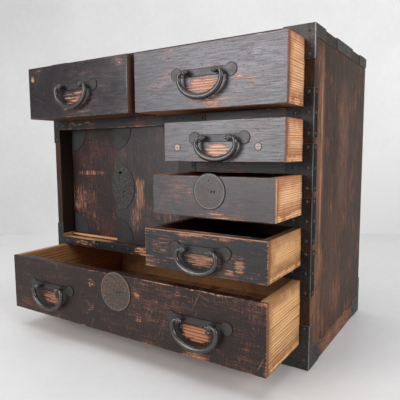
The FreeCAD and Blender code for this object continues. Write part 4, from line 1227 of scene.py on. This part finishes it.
@dataclass(frozen=True)
class Studio:
    """The pale floor and wall, the lamps and the camera, in metres and degrees."""

    eye: tuple[float, float, float] = (0.42846, -0.68822, 0.29323)
    turn: float = 32.684
    tilt: float = -6.292
    lean: float = -0.348
    lens: float = 39.92
    wall_distance: float = 1.545
    wall_turn: float = 31.5
    wall_height: float = 4.0
    reach: float = 6.0
    floor_drop: float = 0.2 * MM
    sensor: float = 36.0
    nearest: float = 0.02
    farthest: float = 50.0
    world_level: float = 0.25
    seen_level: float = 0.72
    # painted shade on the wall: darker upward and to the left, paler to the right
    shade_upward: float = 0.5
    shade_level: float = 0.19
    shade_left: float = 0.7
    shade_right: float = 0.38
    lamps: tuple[Lamp, ...] = (
        Lamp("window_box", (-0.80, -2.35, 1.0), (0.0, 0.0, 0.3), 1.3, 1.6, 50.0),
        Lamp("side_box", (2.3, -0.7, 1.2), (0.2, 0.0, 0.2), 1.3, 1.3, 32.0),
        Lamp("ceiling_box", (0.0, -0.3, 2.7), (0.0, 0.0, 0.0), 2.6, 2.2, 42.0),
    )

    def paper(self, name: str, colour: Colour, roughness: float,
              shading: Callable[[Sequence[Signal]], Value],
              one_sided: bool) -> bpy.types.Material:
        """Make the finish of the floor or the wall.

        Args:
            name: the material's name.
            colour: its palest colour.
            roughness: its roughness.
            shading: how much darker it is painted at a place.
            one_sided: whether it is clear from behind.

        Returns:
            The material.
        """
        graph = Graph.of_material(name)
        place = graph.place()
        mottle = graph.noise(place, 5.0, 6.0)
        specks = graph.noise(place, 60.0, 4.0)
        tone = (mottle - 0.5) * 0.35 + (specks - 0.5) * 0.16 + shading(graph.parts(place))
        darkest = tuple(channel * 0.55 for channel in colour[:3]) + (1.0,)
        behind = graph.node("ShaderNodeNewGeometry", output="Backfacing") if one_sided else None
        return graph.surface(graph.mix((tone + 0.3).held(), colour, darkest),
                             (specks - 0.5) * 0.1 + roughness, clear=behind)

    def sheet(self, name: str, corners: Sequence[Vector], material: bpy.types.Material) -> None:
        """Lay one flat sheet of the set.

        Args:
            name: the sheet's name.
            corners: its corners in turn.
            material: its finish.
        """
        data = bpy.data.meshes.new(name)
        data.from_pydata([tuple(c) for c in corners], [], [tuple(range(len(corners)))])
        data.materials.append(material)
        piece = put(name, data)

    def painted_wall_shade(self, place: Sequence[Signal], along: Vector) -> Signal:
        """Return the wall's painted shade: darker upward and to the left, paler to the right.

        Args:
            place: the three coordinates.
            along: the wall's level direction, which meets the line of sight at 0.

        Returns:
            The added painted shade.
        """
        aside = place[0] * along.x + place[1] * along.y
        return (place[2] * self.shade_upward - self.shade_level
                - aside.lower_of(0.0) * self.shade_left - aside.higher_of(0.0) * self.shade_right)

    def build(self) -> None:
        """Set up floor, wall, lamps, world and camera."""
        square = ((-1, -1), (1, -1), (1, 1), (-1, 1))
        self.sheet("floor",
                   [Vector((x * self.reach, y * self.reach, -self.floor_drop)) for x, y in square],
                   self.paper("floor_paint", FLOOR_COLOUR, 0.5, lambda place: 0.0, False))
        heading = math.radians(self.wall_turn)
        away = Vector((-math.sin(heading), math.cos(heading), 0.0))
        along = Vector((away.y, -away.x, 0.0))
        foot = Vector((self.eye[0], self.eye[1], 0.0)) + away * self.wall_distance
        ends = foot - along * self.reach, foot + along * self.reach
        rise = Vector((0, 0, self.wall_height))
        self.sheet("wall", [ends[0], ends[1], ends[1] + rise, ends[0] + rise],
                   self.paper("wall_paint", WALL_COLOUR, 0.8,
                              lambda place: self.painted_wall_shade(place, along), True))
        for lamp in self.lamps:
            lamp.build()
        self.air()
        bpy.context.scene.view_settings.view_transform = "Standard"
        self.camera()
        LOG.info("studio")

    def air(self) -> None:
        """Fill the room with even light, and show it pale where the set ends."""
        world = bpy.data.worlds.new("studio_air")
        bpy.context.scene.world = world
        graph = Graph(world)
        seen = graph.node("ShaderNodeLightPath", output="Is Camera Ray")
        strength = seen * (self.seen_level - self.world_level) + self.world_level
        light = graph.node("ShaderNodeBackground", None,
                           {"Color": (1.0, 1.0, 1.0, 1.0), "Strength": strength})
        graph.node("ShaderNodeOutputWorld", None, {"Surface": light}, None)

    def camera(self) -> None:
        """Place the camera."""
        data = bpy.data.cameras.new("camera")
        data.lens, data.sensor_width = self.lens, self.sensor
        data.clip_start, data.clip_end = self.nearest, self.farthest
        camera = put("camera", data)
        turn, tilt, lean = (math.radians(a) for a in (self.turn, self.tilt, self.lean))
        right = Vector((math.cos(turn), math.sin(turn), 0.0))
        ahead = Vector((-math.sin(turn) * math.cos(tilt), math.cos(turn) * math.cos(tilt),
                        math.sin(tilt)))
        above = right.cross(ahead)
        level = math.cos(lean) * right + math.sin(lean) * above
        upright = -math.sin(lean) * right + math.cos(lean) * above
        columns = Matrix((level, upright, -ahead)).transposed()
        camera.matrix_world = Matrix.Translation(self.eye) @ columns.to_4x4()
        bpy.context.scene.camera = camera


def main() -> None:
    """Dress the chest and set the studio."""
    logging.basicConfig(level=logging.INFO, format="%(message)s")
    Carcass().build()
    Ironwork().build()
    for door in DOORS:
        door.build()
    for drawer in DRAWERS:
        drawer.build()
    Studio().build()
    bpy.context.view_layer.update()


if __name__ == "__main__":
    main()
